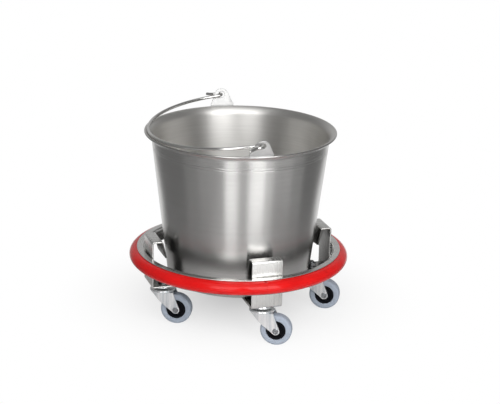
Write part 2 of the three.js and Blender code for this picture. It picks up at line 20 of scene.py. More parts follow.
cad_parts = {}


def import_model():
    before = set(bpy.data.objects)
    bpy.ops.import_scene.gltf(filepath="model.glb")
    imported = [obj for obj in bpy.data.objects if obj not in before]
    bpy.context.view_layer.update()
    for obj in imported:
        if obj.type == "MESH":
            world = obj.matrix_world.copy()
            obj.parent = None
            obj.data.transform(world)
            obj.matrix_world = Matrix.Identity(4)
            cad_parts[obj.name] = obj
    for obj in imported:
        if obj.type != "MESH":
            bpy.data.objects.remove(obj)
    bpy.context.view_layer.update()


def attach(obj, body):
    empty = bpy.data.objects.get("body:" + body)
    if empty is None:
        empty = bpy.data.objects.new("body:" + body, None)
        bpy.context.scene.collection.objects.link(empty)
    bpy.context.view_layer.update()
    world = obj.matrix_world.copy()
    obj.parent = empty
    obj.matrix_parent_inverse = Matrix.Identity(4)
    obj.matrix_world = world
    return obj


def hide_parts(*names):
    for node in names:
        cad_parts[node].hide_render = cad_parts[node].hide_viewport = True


Array = np.ndarray
Pair = tuple[float, float]
Triple = tuple[float, float, float]
Colour = Triple
LOG = logging.getLogger("kick_bucket")
METRE = 0.001
TAU = 2.0 * math.pi
UV_NAME = "UVMap"
# Points on the half circle that closes a sheet's edge, and finer layers in a finish's grain.
EDGE_POINTS = 7
GRAIN_DETAIL = 2.0


class Corner(Enum):
    """The four sides of the cart, with the direction of each in degrees."""

    FRONT = -90.0
    RIGHT = 0.0
    BACK = 90.0
    LEFT = 180.0

    @property
    def word(self) -> str:
        """The corner's name as the model's nodes write it."""
        return self.name.lower()

    @property
    def angle(self) -> float:
        """The corner's direction in radians."""
        return math.radians(self.value)


class Slot(Enum):
    """The record's material slots."""

    BRUSHED = "brushed_steel"
    POLISHED = "polished_steel"
    RED = "red_vinyl"
    ZINC = "zinc_plate"
    GREY = "grey_rubber"
    BLACK = "black_plastic"


def arc(centre: Sequence[float], radius: float, start: float, end: float, count: int) -> Array:
    """Points on a circle from one angle to another, both in radians.

    Args:
        centre: The circle's centre.
        radius: The circle's radius.
        start: Angle of the first point.
        end: Angle of the last point.
        count: Number of points.

    Returns:
        An array of count points in the plane.
    """
    angle = np.linspace(start, end, count)
    return np.stack([centre[0] + radius * np.cos(angle), centre[1] + radius * np.sin(angle)], 1)


def right_turn(start: Array, heading: float, radius: float, turn: float, count: int) -> Array:
    """Points of an arc that leaves a point on a heading and turns right.

    The centre lies one radius to the right of the heading.

    Args:
        start: The point that the arc leaves, which isn't repeated.
        heading: Direction of travel at the start, in radians.
        radius: Radius of the turn.
        turn: Angle turned, in radians.
        count: Number of points after the start.

    Returns:
        An array of count points in the plane.
    """
    side = heading - math.pi / 2
    centre = start + radius * np.array([math.cos(side), math.sin(side)])
    return arc(centre, radius, heading + math.pi / 2, heading + math.pi / 2 - turn, count + 1)[1:]


def rounded(corners: Sequence[Sequence[float]], radius: float, steps: int) -> Array:
    """A polyline whose inner corners become arcs of one radius.

    Each arc's centre lies on the corner's bisector, one radius from both legs.

    Args:
        corners: The polyline's points.
        radius: Radius of the bends.
        steps: Steps in each bend.

    Returns:
        The rounded polyline's points.
    """
    points = np.asarray(corners, float)
    runs = [points[:1]]
    for before, here, after in zip(points[:-2], points[1:-1], points[2:]):
        back = (before - here) / np.linalg.norm(before - here)
        ahead = (after - here) / np.linalg.norm(after - here)
        half = math.acos(float(np.clip(back @ ahead, -1, 1))) / 2
        middle = (back + ahead) / np.linalg.norm(back + ahead)
        centre = here + middle * radius / math.sin(half)
        arm = here + back * radius / math.tan(half) - centre
        sign = -math.copysign(1.0, back[0] * ahead[1] - back[1] * ahead[0])
        swing = sign * np.linspace(0, math.pi - 2 * half, steps + 1)
        runs.append(centre + np.stack([arm[0] * np.cos(swing) - arm[1] * np.sin(swing),
                                       arm[0] * np.sin(swing) + arm[1] * np.cos(swing)], 1))
    runs.append(points[-1:])
    return np.concatenate(runs)


def spread(path: Array, step: float) -> Array:
    """A polyline with points added so that no step is longer than a length.

    Each leg is cut into the least number of equal steps.

    Args:
        path: The polyline's points.
        step: The longest step.

    Returns:
        The same polyline with more points on its long legs.
    """
    legs = np.linalg.norm(np.diff(path, axis=0), axis=1)
    counts = np.maximum(np.ceil(legs / step).astype(int), 1)
    place = np.concatenate([i + np.arange(n) / n for i, n in enumerate(counts)] + [[len(legs)]])
    index = np.arange(len(path))
    return np.stack([np.interp(place, index, path[:, k]) for k in range(path.shape[1])], 1)


def normals_of(path: Array) -> Array:
    """Unit normals of a plane polyline, on the left of its travel.

    Each is the unit tangent turned by a right angle.

    Args:
        path: The polyline's points.

    Returns:
        One unit normal for each point.
    """
    tangent = np.gradient(path, axis=0)
    tangent /= np.linalg.norm(tangent, axis=1, keepdims=True)
    return np.stack([-tangent[:, 1], tangent[:, 0]], 1)


def sheet_outline(path: Array, thickness: float, round_start: bool = True) -> Array:
    """The outline of a sheet of even thickness along a path, with round edges.

    Each face lies half the thickness from the path along its normal, and a half circle
    closes the edge.

    Args:
        path: The sheet's middle line.
        thickness: The sheet's thickness.
        round_start: False leaves the first edge open, where the sheet starts on the axis.

    Returns:
        The outline's points in order.
    """
    normal = normals_of(path)
    half = thickness / 2
    right, left = path - half * normal, (path + half * normal)[::-1]

    def edge(centre: Array, outward: Array) -> Array:
        """The inner points of the half circle round an edge that faces outward."""
        heading = math.atan2(outward[1], outward[0])
        return arc(centre, half, heading - math.pi / 2, heading + math.pi / 2, EDGE_POINTS)[1:-1]

    parts = [right, edge(path[-1], path[-1] - path[-2]), left]
    if round_start:
        parts.append(edge(path[0], path[0] - path[1]))
    return np.concatenate(parts)


@dataclass(frozen=True)
class Patch:
    """A surface as a grid of points over two parameters, rows and columns.

    Attributes:
        points: Rows by columns by three, in millimetres.
        close_rows: True joins the last row to the first.
        close_cols: True joins the last column to the first.
    """

    points: Array
    close_rows: bool = False
    close_cols: bool = False

    def at(self, points: Array) -> Patch:
        """The same grid through other points."""
        return Patch(points, self.close_rows, self.close_cols)

    def turned(self, angle: float) -> Patch:
        """The patch turned about Z by an angle in radians."""
        c, s = math.cos(angle), math.sin(angle)
        return self.at(self.points @ np.array([[c, s, 0], [-s, c, 0], [0, 0, 1]]))

    def moved(self, x: float, y: float, z: float) -> Patch:
        """The patch moved by an offset."""
        return self.at(self.points + np.array([x, y, z]))

    def tipped(self, angle: float) -> Patch:
        """The patch turned about X by an angle in radians."""
        c, s = math.cos(angle), math.sin(angle)
        return self.at(self.points @ np.array([[1, 0, 0], [0, c, s], [0, -s, c]]))

    def quads(self) -> tuple[Array, Array]:
        """The grid's faces.

        Returns:
            Vertex indices of each quad, and the row and column of each corner before wrapping.
        """
        rows, cols = self.points.shape[:2]
        i, j = np.meshgrid(np.arange(rows if self.close_rows else rows - 1),
                           np.arange(cols if self.close_cols else cols - 1), indexing="ij")
        row = np.stack([i, i, i + 1, i + 1], -1).reshape(-1, 4)
        col = np.stack([j, j + 1, j + 1, j], -1).reshape(-1, 4)
        return (row % rows) * cols + col % cols, np.stack([row, col], -1)

    def lengths(self, axis: int) -> Array:
        """Mean length of the grid along one axis, from its start to each line and back round.

        Args:
            axis: 0 counts from row to row, 1 from column to column.

        Returns:
            The length at each line, and at the first line again, in metres.
        """
        around = np.concatenate([self.points, np.take(self.points, [0], axis)], axis)
        step = np.linalg.norm(np.diff(around, axis=axis), axis=2).mean(1 - axis)
        return np.concatenate([[0], np.cumsum(step)]) * METRE

    def uv(self, corners: Array) -> Array:
        """Lengths over the columns and over the rows, in metres, at each face corner."""
        return np.stack([self.lengths(1)[corners[..., 1]], self.lengths(0)[corners[..., 0]]], -1)


def revolve(profile: Array, segments: int, closed: bool = True) -> Patch:
    """A surface of revolution about Z.

    Row i is the circle of radius profile[i, 0] at height profile[i, 1].

    Args:
        profile: Radius and height of each row.
        segments: Points around.
        closed: True joins the profile's end to its start.

    Returns:
        The patch, closed around.
    """
    angle = np.arange(segments) * TAU / segments
    radius, height = profile[:, 0, None], profile[:, 1, None]
    points = np.stack([radius * np.cos(angle), radius * np.sin(angle),
                       height + 0 * angle], -1)
    return Patch(points, close_rows=closed, close_cols=True)


def sweep(path: Array, section: Array, across: Array, scale: Array | None = None,
          inward: Array | None = None) -> Patch:
    """A section carried along a path that lies in a plane.

    Each section point (a, b) lies a along the path's normal in its plane and b along the
    plane's own normal.

    Args:
        path: Points of the path in space.
        section: Closed section in the plane.
        across: Unit normal of the plane that the path lies in.
        scale: Size of the section at each path point, 1 where left out.
        inward: The path's own unit normals, worked out from the path where left out.

    Returns:
        The patch, closed across, with columns along the path.
    """
    if inward is None:
        tangent = np.gradient(path, axis=0)
        inward = np.cross(across, tangent / np.linalg.norm(tangent, axis=1, keepdims=True))
    size = np.ones(len(path)) if scale is None else scale
    points = (path[None] + size[None, :, None] * (section[:, None, :1] * inward[None]
                                                  + section[:, None, 1:] * across))
    return Patch(points, close_rows=True)


def towards(azimuth: float, elevation: float) -> Array:
    """Unit vector to a place seen from the bucket, by angles in radians counted from the front."""
    return np.array([math.sin(azimuth) * math.cos(elevation), -math.cos(azimuth) * math.cos(elevation),
                     math.sin(elevation)])


def circle(radius: float, count: int) -> Array:
    """A closed circle of points in the plane."""
    return arc((0, 0), radius, 0, TAU, count + 1)[:-1]


def rounded_rectangle(width: float, height: float, radius: float, steps: int) -> Array:
    """A closed rectangle with round corners, centred on the origin.

    It is four quarter circles, joined by straight sides.

    Args:
        width: Size along the first axis.
        height: Size along the second axis.
        radius: Radius of the corners.
        steps: Steps in each corner.

    Returns:
        The outline's points, anticlockwise.
    """
    x, y = width / 2 - radius, height / 2 - radius
    quarter = math.pi / 2
    corners = ((x, y), (-x, y), (-x, -y), (x, -y))
    return np.concatenate([arc(c, radius, i * quarter, (i + 1) * quarter, steps + 1)
                           for i, c in enumerate(corners)])


class Workshop:
    """Makes mesh objects from patches and hands them to the frame."""

    MERGE: ClassVar[float] = 1e-6
    CREASE: ClassVar[float] = math.radians(35.0)

    def __init__(self, finishes: Sequence[Any]) -> None:
        """Makes each finish's material once.

        Args:
            finishes: The finishes that the pieces wear.
        """
        self.finishes = {type(finish): finish.material() for finish in finishes}

    def mesh(self, name: str, patches: Sequence[Patch]) -> bpy.types.Object:
        """A mesh object from patches, with merged seams, outward faces, a UV map and sharp creases.

        Args:
            name: The object's name.
            patches: The surfaces that make it up.

        Returns:
            The object, at the origin.
        """
        verts, quads, uvs, first = [], [], [], 0
        for patch in patches:
            faces, corners = patch.quads()
            verts.append(patch.points.reshape(-1, 3) * METRE)
            quads.append(faces + first)
            uvs.append(patch.uv(corners))
            first += len(verts[-1])
        data = bpy.data.meshes.new(name)
        data.from_pydata(np.concatenate(verts).tolist(), [], np.concatenate(quads).tolist())
        layer = data.uv_layers.new(name=UV_NAME)
        layer.data.foreach_set("uv", np.concatenate(uvs).astype(np.float32).ravel())
        work = bmesh.new()
        work.from_mesh(data)
        bmesh.ops.remove_doubles(work, verts=work.verts, dist=self.MERGE)
        bmesh.ops.dissolve_degenerate(work, edges=work.edges, dist=self.MERGE)
        if work.calc_volume(signed=True) < 0:
            bmesh.ops.reverse_faces(work, faces=work.faces)
        work.to_mesh(data)
        work.free()
        data.shade_smooth()
        data.set_sharp_from_angle(angle=self.CREASE)
        piece = bpy.data.objects.new(name, data)
        bpy.context.scene.collection.objects.link(piece)
        return piece

    def fit(self, name: str, patches: Sequence[Patch], body: str, finish: type,
            nodes: Sequence[str] = ()) -> bpy.types.Object:
        """Makes a piece, dresses it and lets it ride on a body.

        Args:
            name: The piece's name.
            patches: Its surfaces.
            body: The body that it moves with.
            finish: The class of its finish.
            nodes: The solids that it stands for.

        Returns:
            The piece.
        """
        piece = self.mesh(name, patches)
        piece.data.materials.append(self.finishes[finish])
        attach(piece, body)
        if nodes:
            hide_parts(*nodes)
        LOG.info("%s: %d faces on %s", name, len(piece.data.polygons), body)
        return piece


class Nodes:
    """A node tree, and the steps that the finishes, the floor and the room are made of."""

    NOISE_ROUGHNESS: ClassVar[float] = 0.6
    NOISE_MIDDLE: ClassVar[Pair] = (0.3, 0.7)
    MIX_COLOURS: ClassVar[tuple[int, int]] = (6, 7)
    MIX_RESULT: ClassVar[int] = 2

    def __init__(self, tree: bpy.types.NodeTree) -> None:
        """Takes the tree that the nodes go into."""
        self.tree = tree

    def put(self, value: Any, socket: Any) -> None:
        """Feeds a socket from an output, or sets the socket's own value.

        Args:
            value: An output socket or a plain value.
            socket: The input socket.
        """
        if isinstance(value, bpy.types.NodeSocket):
            self.tree.links.new(value, socket)
        else:
            socket.default_value = value

    def node(self, kind: str, settings: dict[str, Any] | None = None, **inputs: Any) -> Any:
        """Adds a node.

        Args:
            kind: Node type without its ShaderNode prefix.
            settings: Properties of the node.
            **inputs: Value or output socket for each input, with underscores for spaces.

        Returns:
            The node.
        """
        made = self.tree.nodes.new("ShaderNode" + kind)
        for name, value in (settings or {}).items():
            setattr(made, name, value)
        for name, value in inputs.items():
            self.put(value, made.inputs[name.replace("_", " ")])
        return made

    def fill(self, node: Any, *values: Any) -> Any:
        """Feeds a node's inputs in order.

        Args:
            node: The node.
            *values: A value or an output for each input.

        Returns:
            The node's first output.
        """
        for socket, value in zip(node.inputs, values):
            self.put(value, socket)
        return node.outputs[0]

    def noise(self, scale: Sequence[float], detail: float = GRAIN_DETAIL, uv: bool = False) -> Any:
        """Noise that is stretched by a scale per metre.

        Args:
            scale: Scale along each axis.
            detail: Finer layers in the noise.
            uv: True reads the UV map, False the Object coordinates.

        Returns:
            The noise's output.
        """
        place = self.node("TexCoord").outputs["UV" if uv else "Object"]
        spot = self.node("Mapping", Vector=place, Scale=tuple(scale)).outputs["Vector"]
        return self.node("TexNoise", Vector=spot, Scale=1.0, Detail=detail,
                         Roughness=self.NOISE_ROUGHNESS).outputs["Fac"]

    def math(self, operation: str, first: Any, second: Any) -> Any:
        """One step of arithmetic on two values or outputs."""
        return self.fill(self.node("Math", {"operation": operation}), first, second)

    def span(self, value: Any, low: float, high: float) -> Any:
        """Spreads a noise's middle range over low to high."""
        start, end = self.NOISE_MIDDLE
        return self.node("MapRange", Value=value, From_Min=start, From_Max=end, To_Min=low,
                         To_Max=high).outputs["Result"]

    def blend(self, factor: Any, first: Any, second: Any) -> Any:
        """A colour between two.

        Args:
            factor: Output that gives the second colour's share.
            first: A colour or an output.
            second: A colour or an output.

        Returns:
            The colour's output.
        """
        mix = self.node("Mix", {"data_type": "RGBA"}, Factor=factor)
        for place, colour in zip(self.MIX_COLOURS, (first, second)):
            linked = isinstance(colour, bpy.types.NodeSocket)
            self.put(colour if linked else (*colour, 1.0), mix.inputs[place])
        return mix.outputs[self.MIX_RESULT]

    def clouded(self, noise: Any, dark: Colour, light: Colour) -> Any:
        """A colour from dark to light over a noise's middle range."""
        return self.blend(self.span(noise, 0.0, 1.0), dark, light)

    def past(self, length: float, axis: str = "Y") -> Any:
        """One where an axis of the UV map has gone past a length in metres, else zero."""
        place = self.node("SeparateXYZ", Vector=self.node("TexCoord").outputs["UV"])
        return self.math("GREATER_THAN", place.outputs[axis], length)

    def measure(self, operation: str, place: Any, other: Sequence[float]) -> Any:
        """A place set against a fixed vector, by their product or their distance.

        Args:
            operation: The Vector Math node's operation.
            place: Output that gives the place.
            other: The fixed vector.

        Returns:
            The measured value's output.
        """
        made = self.node("VectorMath", {"operation": operation})
        self.fill(made, place, other)
        return made.outputs["Value"]

    def beyond(self, value: Any, limits: Sequence[float], levels: Sequence[float] = (0.0, 1.0)) -> Any:
        """Goes smoothly from the first level at the first limit to the second at the second."""
        return self.node("MapRange", {"interpolation_type": "SMOOTHSTEP"}, Value=value, From_Min=limits[0],
                         From_Max=limits[1], To_Min=levels[0], To_Max=levels[1]).outputs["Result"]

    def mixed(self, factor: Any, first: Any, second: Any) -> Any:
        """A surface between two, by the second one's share."""
        return self.fill(self.node("MixShader"), factor, first, second)


class Shader(Nodes):
    """A material's nodes round a Principled surface."""

    BUMP_DEPTH: ClassVar[float] = 0.0001

    def __init__(self, name: str, **sockets: Any) -> None:
        """Makes the material and sets the surface's own sockets.

        Args:
            name: The material's name.
            **sockets: Values by socket name, with underscores for spaces.
        """
        self.material = bpy.data.materials.new(name)
        self.material.use_nodes = True
        super().__init__(self.material.node_tree)
        self.surface = self.tree.nodes["Principled BSDF"]
        for socket, value in sockets.items():
            self.put(value, self.surface.inputs[socket.replace("_", " ")])

    def link(self, output: Any, socket: str) -> None:
        """Links an output to one of the surface's sockets."""
        self.tree.links.new(output, self.surface.inputs[socket])

    def bump(self, height: Any, strength: float) -> None:
        """Raises the surface by a height."""
        made = self.node("Bump", Height=height, Strength=strength, Distance=self.BUMP_DEPTH)
        self.link(made.outputs["Normal"], "Normal")

    def grain_along(self) -> None:
        """Lays the highlight's direction along the UV map's first axis."""
        made = self.node("Tangent", {"direction_type": "UV_MAP", "uv_map": UV_NAME})
        self.link(made.outputs["Tangent"], "Tangent")


@dataclass(frozen=True)
class BrushedSteel:
    """Satin stainless sheet, brushed round the bucket in fine level lines.

    Lengths along the UV map are in metres. The inside starts on top of the lip's curl. The inside is rougher,
    which is its real duller finish, and paler, which is painted light that brightens the inside and the
    curl's top.
    """

    slot: ClassVar[Slot] = Slot.BRUSHED
    light: Colour = (0.55, 0.545, 0.535)
    dark: Colour = (0.485, 0.48, 0.47)
    # Paler inside colours: painted light that brightens the inside and the top of the curl.
    lit_inside_light: Colour = (0.735, 0.725, 0.705)
    lit_inside_dark: Colour = (0.685, 0.675, 0.655)
    line_scale: Triple = (5.0, 5.0, 1400.0)
    streak_scale: Triple = (3.0, 3.0, 520.0)
    inside_scale: Triple = (14.0, 14.0, 330.0)
    inside_from: float = 0.3675
    roughness: float = 0.27
    inside_roughness: float = 0.42
    anisotropic: float = 0.7
    anisotropic_turn: float = 0.25
    line_height: float = 0.02

    def material(self) -> bpy.types.Material:
        """Level lines in colour and height, with a duller inside whose paler colour is painted light.

        Returns:
            The material.
        """
        s = Shader("brushed_steel", Metallic=1.0, Anisotropic=self.anisotropic,
                   Anisotropic_Rotation=self.anisotropic_turn)
        lines, streaks = s.noise(self.line_scale), s.noise(self.streak_scale)
        both = s.math("ADD", s.span(lines, 0.0, 0.5), s.span(streaks, 0.0, 0.5))
        inside = s.past(self.inside_from)
        outer = s.blend(both, self.dark, self.light)
        # The inside's paler colour is painted light; its rougher gloss is the real finish.
        inner = s.clouded(s.noise(self.inside_scale), self.lit_inside_dark, self.lit_inside_light)
        s.link(s.blend(inside, outer, inner), "Base Color")
        step = s.math("MULTIPLY", inside, self.inside_roughness - self.roughness)
        s.link(s.math("ADD", step, self.roughness), "Roughness")
        s.bump(lines, self.line_height)
        s.grain_along()
        return s.material


@dataclass(frozen=True)
class PolishedSteel:
    """Bright rolled stainless strip with faint rolling lines.

    Lengths along the UV map are in metres: past mill_from across it, and past a second length along it, the
    steel has its dull mill face. The mill face is a real duller finish, and its dark colour is also painted
    shade on the inner faces of the strips and the ring. The steel of the ring has none along it.
    """

    slot: ClassVar[Slot] = Slot.POLISHED
    name: ClassVar[str] = "polished_steel"
    light: Colour = (0.73, 0.725, 0.71)
    dark: Colour = (0.65, 0.645, 0.63)
    # Mill face colours: a real duller finish, darkened further as painted shade.
    mill_and_shade_light: Colour = (0.36, 0.355, 0.345)
    mill_and_shade_dark: Colour = (0.28, 0.275, 0.265)
    line_scale: Triple = (12.0, 900.0, 1.0)
    cloud_scale: Triple = (45.0, 45.0, 45.0)
    cloud_detail: float = 3.0
    mill_from: float = 0.0552
    shade_from: float = 9.0
    gloss: Pair = (0.23, 0.30)
    line_height: float = 0.02

    def material(self) -> bpy.types.Material:
        """Rolling lines along the strip in gloss, slow clouds of colour, and a dull mill face inside,
        darkened as painted shade.

        Returns:
            The material.
        """
        s = Shader(self.name, Metallic=1.0)
        lines = s.noise(self.line_scale, uv=True)
        clouds = s.noise(self.cloud_scale, self.cloud_detail)
        # Where the mill face or the strip's guide is, the colour darkens: partly real mill finish, partly
        # painted shade.
        dull = s.math("MAXIMUM", s.past(self.mill_from), s.past(self.shade_from, "X"))
        s.link(s.blend(dull, s.clouded(clouds, self.dark, self.light),
                       s.clouded(clouds, self.mill_and_shade_dark, self.mill_and_shade_light)), "Base Color")
        s.link(s.span(lines, *self.gloss), "Roughness")
        s.bump(lines, self.line_height)
        return s.material


@dataclass(frozen=True)
class StripSteel(PolishedSteel):
    """The strips' steel, with the guide beyond the last bend darkened all over as painted shade."""

    name: ClassVar[str] = "strip_steel"
    # Near-black mill colours: painted shade on the strips' inner faces and on the guides.
    mill_and_shade_light: Colour = (0.2, 0.198, 0.19)
    mill_and_shade_dark: Colour = (0.15, 0.148, 0.142)
    shade_from: float = 0.1700


@dataclass(frozen=True)
class DrawnWire(PolishedSteel):
    """Bright drawn stainless wire, glossier than the strips."""

    name: ClassVar[str] = "drawn_wire"
    gloss: Pair = (0.10, 0.17)


@dataclass(frozen=True)
class CloudedFinish:
    """A finish with slow clouds in its colour and a fine grain in its height.

    Attributes:
        light: Colour of the light clouds.
        dark: Colour of the dark clouds.
        cloud_scale: Clouds per metre along each axis.
        cloud_detail: Finer layers in the clouds.
        grain_scale: Grains per metre along each axis.
        gloss: Roughness at the low and the high end of the clouds, or of the grain.
        grain_height: Strength of the grain in height.
        gloss_by_grain: True lets the grain set the roughness, False the clouds.
    """

    slot: ClassVar[Slot]
    name: ClassVar[str]
    sockets: ClassVar[dict[str, float]]
    light: Colour
    dark: Colour
    cloud_scale: Triple
    cloud_detail: float
    grain_scale: Triple
    gloss: Pair
    grain_height: float
    gloss_by_grain: bool = False

    def material(self) -> bpy.types.Material:
        """Clouds of colour, an uneven gloss and a grain in height.

        Returns:
            The material.
        """
        s = Shader(self.name, **self.sockets)
        clouds = s.noise(self.cloud_scale, self.cloud_detail)
        grain = s.noise(self.grain_scale)
        s.link(s.clouded(clouds, self.dark, self.light), "Base Color")
        s.link(s.span(grain if self.gloss_by_grain else clouds, *self.gloss), "Roughness")
        s.bump(grain, self.grain_height)
        return s.material


@dataclass(frozen=True)
class SatinSteel(CloudedFinish):
    """Pale satin stainless plate, ground in no one direction, for the ears and their welds."""

    slot: ClassVar[Slot] = Slot.BRUSHED
    name: ClassVar[str] = "satin_steel"
    sockets: ClassVar[dict[str, float]] = {"Metallic": 1.0}
    light: Colour = (0.58, 0.58, 0.575)
    dark: Colour = (0.51, 0.51, 0.505)
    cloud_scale: Triple = (90.0, 90.0, 90.0)
    cloud_detail: float = 4.0
    grain_scale: Triple = (1600.0, 1600.0, 500.0)
    gloss: Pair = (0.45, 0.58)
    grain_height: float = 0.08
    gloss_by_grain: bool = True


@dataclass(frozen=True)
class ZincPlate(CloudedFinish):
    """Bright zinc plating with a faint blue cast, with upright light and dark streaks that are painted
    reflections.
    """

    slot: ClassVar[Slot] = Slot.ZINC
    name: ClassVar[str] = "zinc_plate"
    sockets: ClassVar[dict[str, float]] = {"Metallic": 0.8}
    light: Colour = (0.985, 0.99, 0.99)
    dark: Colour = (0.68, 0.72, 0.755)
    # Upright streaks in colour: painted reflections on the fork's plates.
    cloud_scale: Triple = (230.0, 230.0, 22.0)
    cloud_detail: float = 1.0
    grain_scale: Triple = (1500.0, 1500.0, 1500.0)
    gloss: Pair = (0.24, 0.18)
    grain_height: float = 0.03


@dataclass(frozen=True)
class DullZinc(ZincPlate):
    """The darker plating of turned pins, nuts and washers, which keeps the zinc's upright streaks of painted
    reflection.
    """

    name: ClassVar[str] = "dull_zinc"
    sockets: ClassVar[dict[str, float]] = {"Metallic": 1.0}
    light: Colour = (0.42, 0.43, 0.445)
    dark: Colour = (0.30, 0.31, 0.325)
    gloss: Pair = (0.32, 0.26)


@dataclass(frozen=True)
class GreyRubber(CloudedFinish):
    """Matt blue-grey wheel rubber with a fine moulded grain."""

    slot: ClassVar[Slot] = Slot.GREY
    name: ClassVar[str] = "grey_rubber"
    sockets: ClassVar[dict[str, float]] = {"IOR": 1.45}
    light: Colour = (0.41, 0.465, 0.545)
    dark: Colour = (0.345, 0.39, 0.46)
    cloud_scale: Triple = (140.0, 140.0, 140.0)
    cloud_detail: float = 5.0
    grain_scale: Triple = (2500.0, 2500.0, 2500.0)
    gloss: Pair = (0.47, 0.65)
    grain_height: float = 0.15


@dataclass(frozen=True)
class BlackPlastic(CloudedFinish):
    """Black moulded hub plastic with a satin skin."""

    slot: ClassVar[Slot] = Slot.BLACK
    name: ClassVar[str] = "black_plastic"
    sockets: ClassVar[dict[str, float]] = {"IOR": 1.5, "Specular_IOR_Level": 0.08}
    light: Colour = (0.010, 0.011, 0.014)
    dark: Colour = (0.005, 0.005, 0.007)
    cloud_scale: Triple = (260.0, 260.0, 260.0)
    cloud_detail: float = 4.0
    grain_scale: Triple = (3000.0, 3000.0, 3000.0)
    gloss: Pair = (0.42, 0.58)
    grain_height: float = 0.1


@dataclass(frozen=True)
class RedVinyl:
    """Glossy red extruded vinyl with faint draw lines along it."""

    slot: ClassVar[Slot] = Slot.RED
    light: Colour = (0.75, 0.010, 0.010)
    dark: Colour = (0.66, 0.007, 0.007)
    line_scale: Triple = (4.0, 1200.0, 1.0)
    cloud_scale: Triple = (30.0, 30.0, 30.0)
    cloud_detail: float = 3.0
    gloss: Pair = (0.10, 0.18)
    line_height: float = 0.03

    def material(self) -> bpy.types.Material:
        """Draw lines in gloss and height, with slow clouds of colour.

        Returns:
            The material.
        """
        s = Shader("red_vinyl", IOR=1.45, Specular_IOR_Level=0.3)
        lines = s.noise(self.line_scale, uv=True)
        s.link(s.clouded(s.noise(self.cloud_scale, self.cloud_detail), self.dark, self.light), "Base Color")
        s.link(s.span(lines, *self.gloss), "Roughness")
        s.bump(lines, self.line_height)
        return s.material


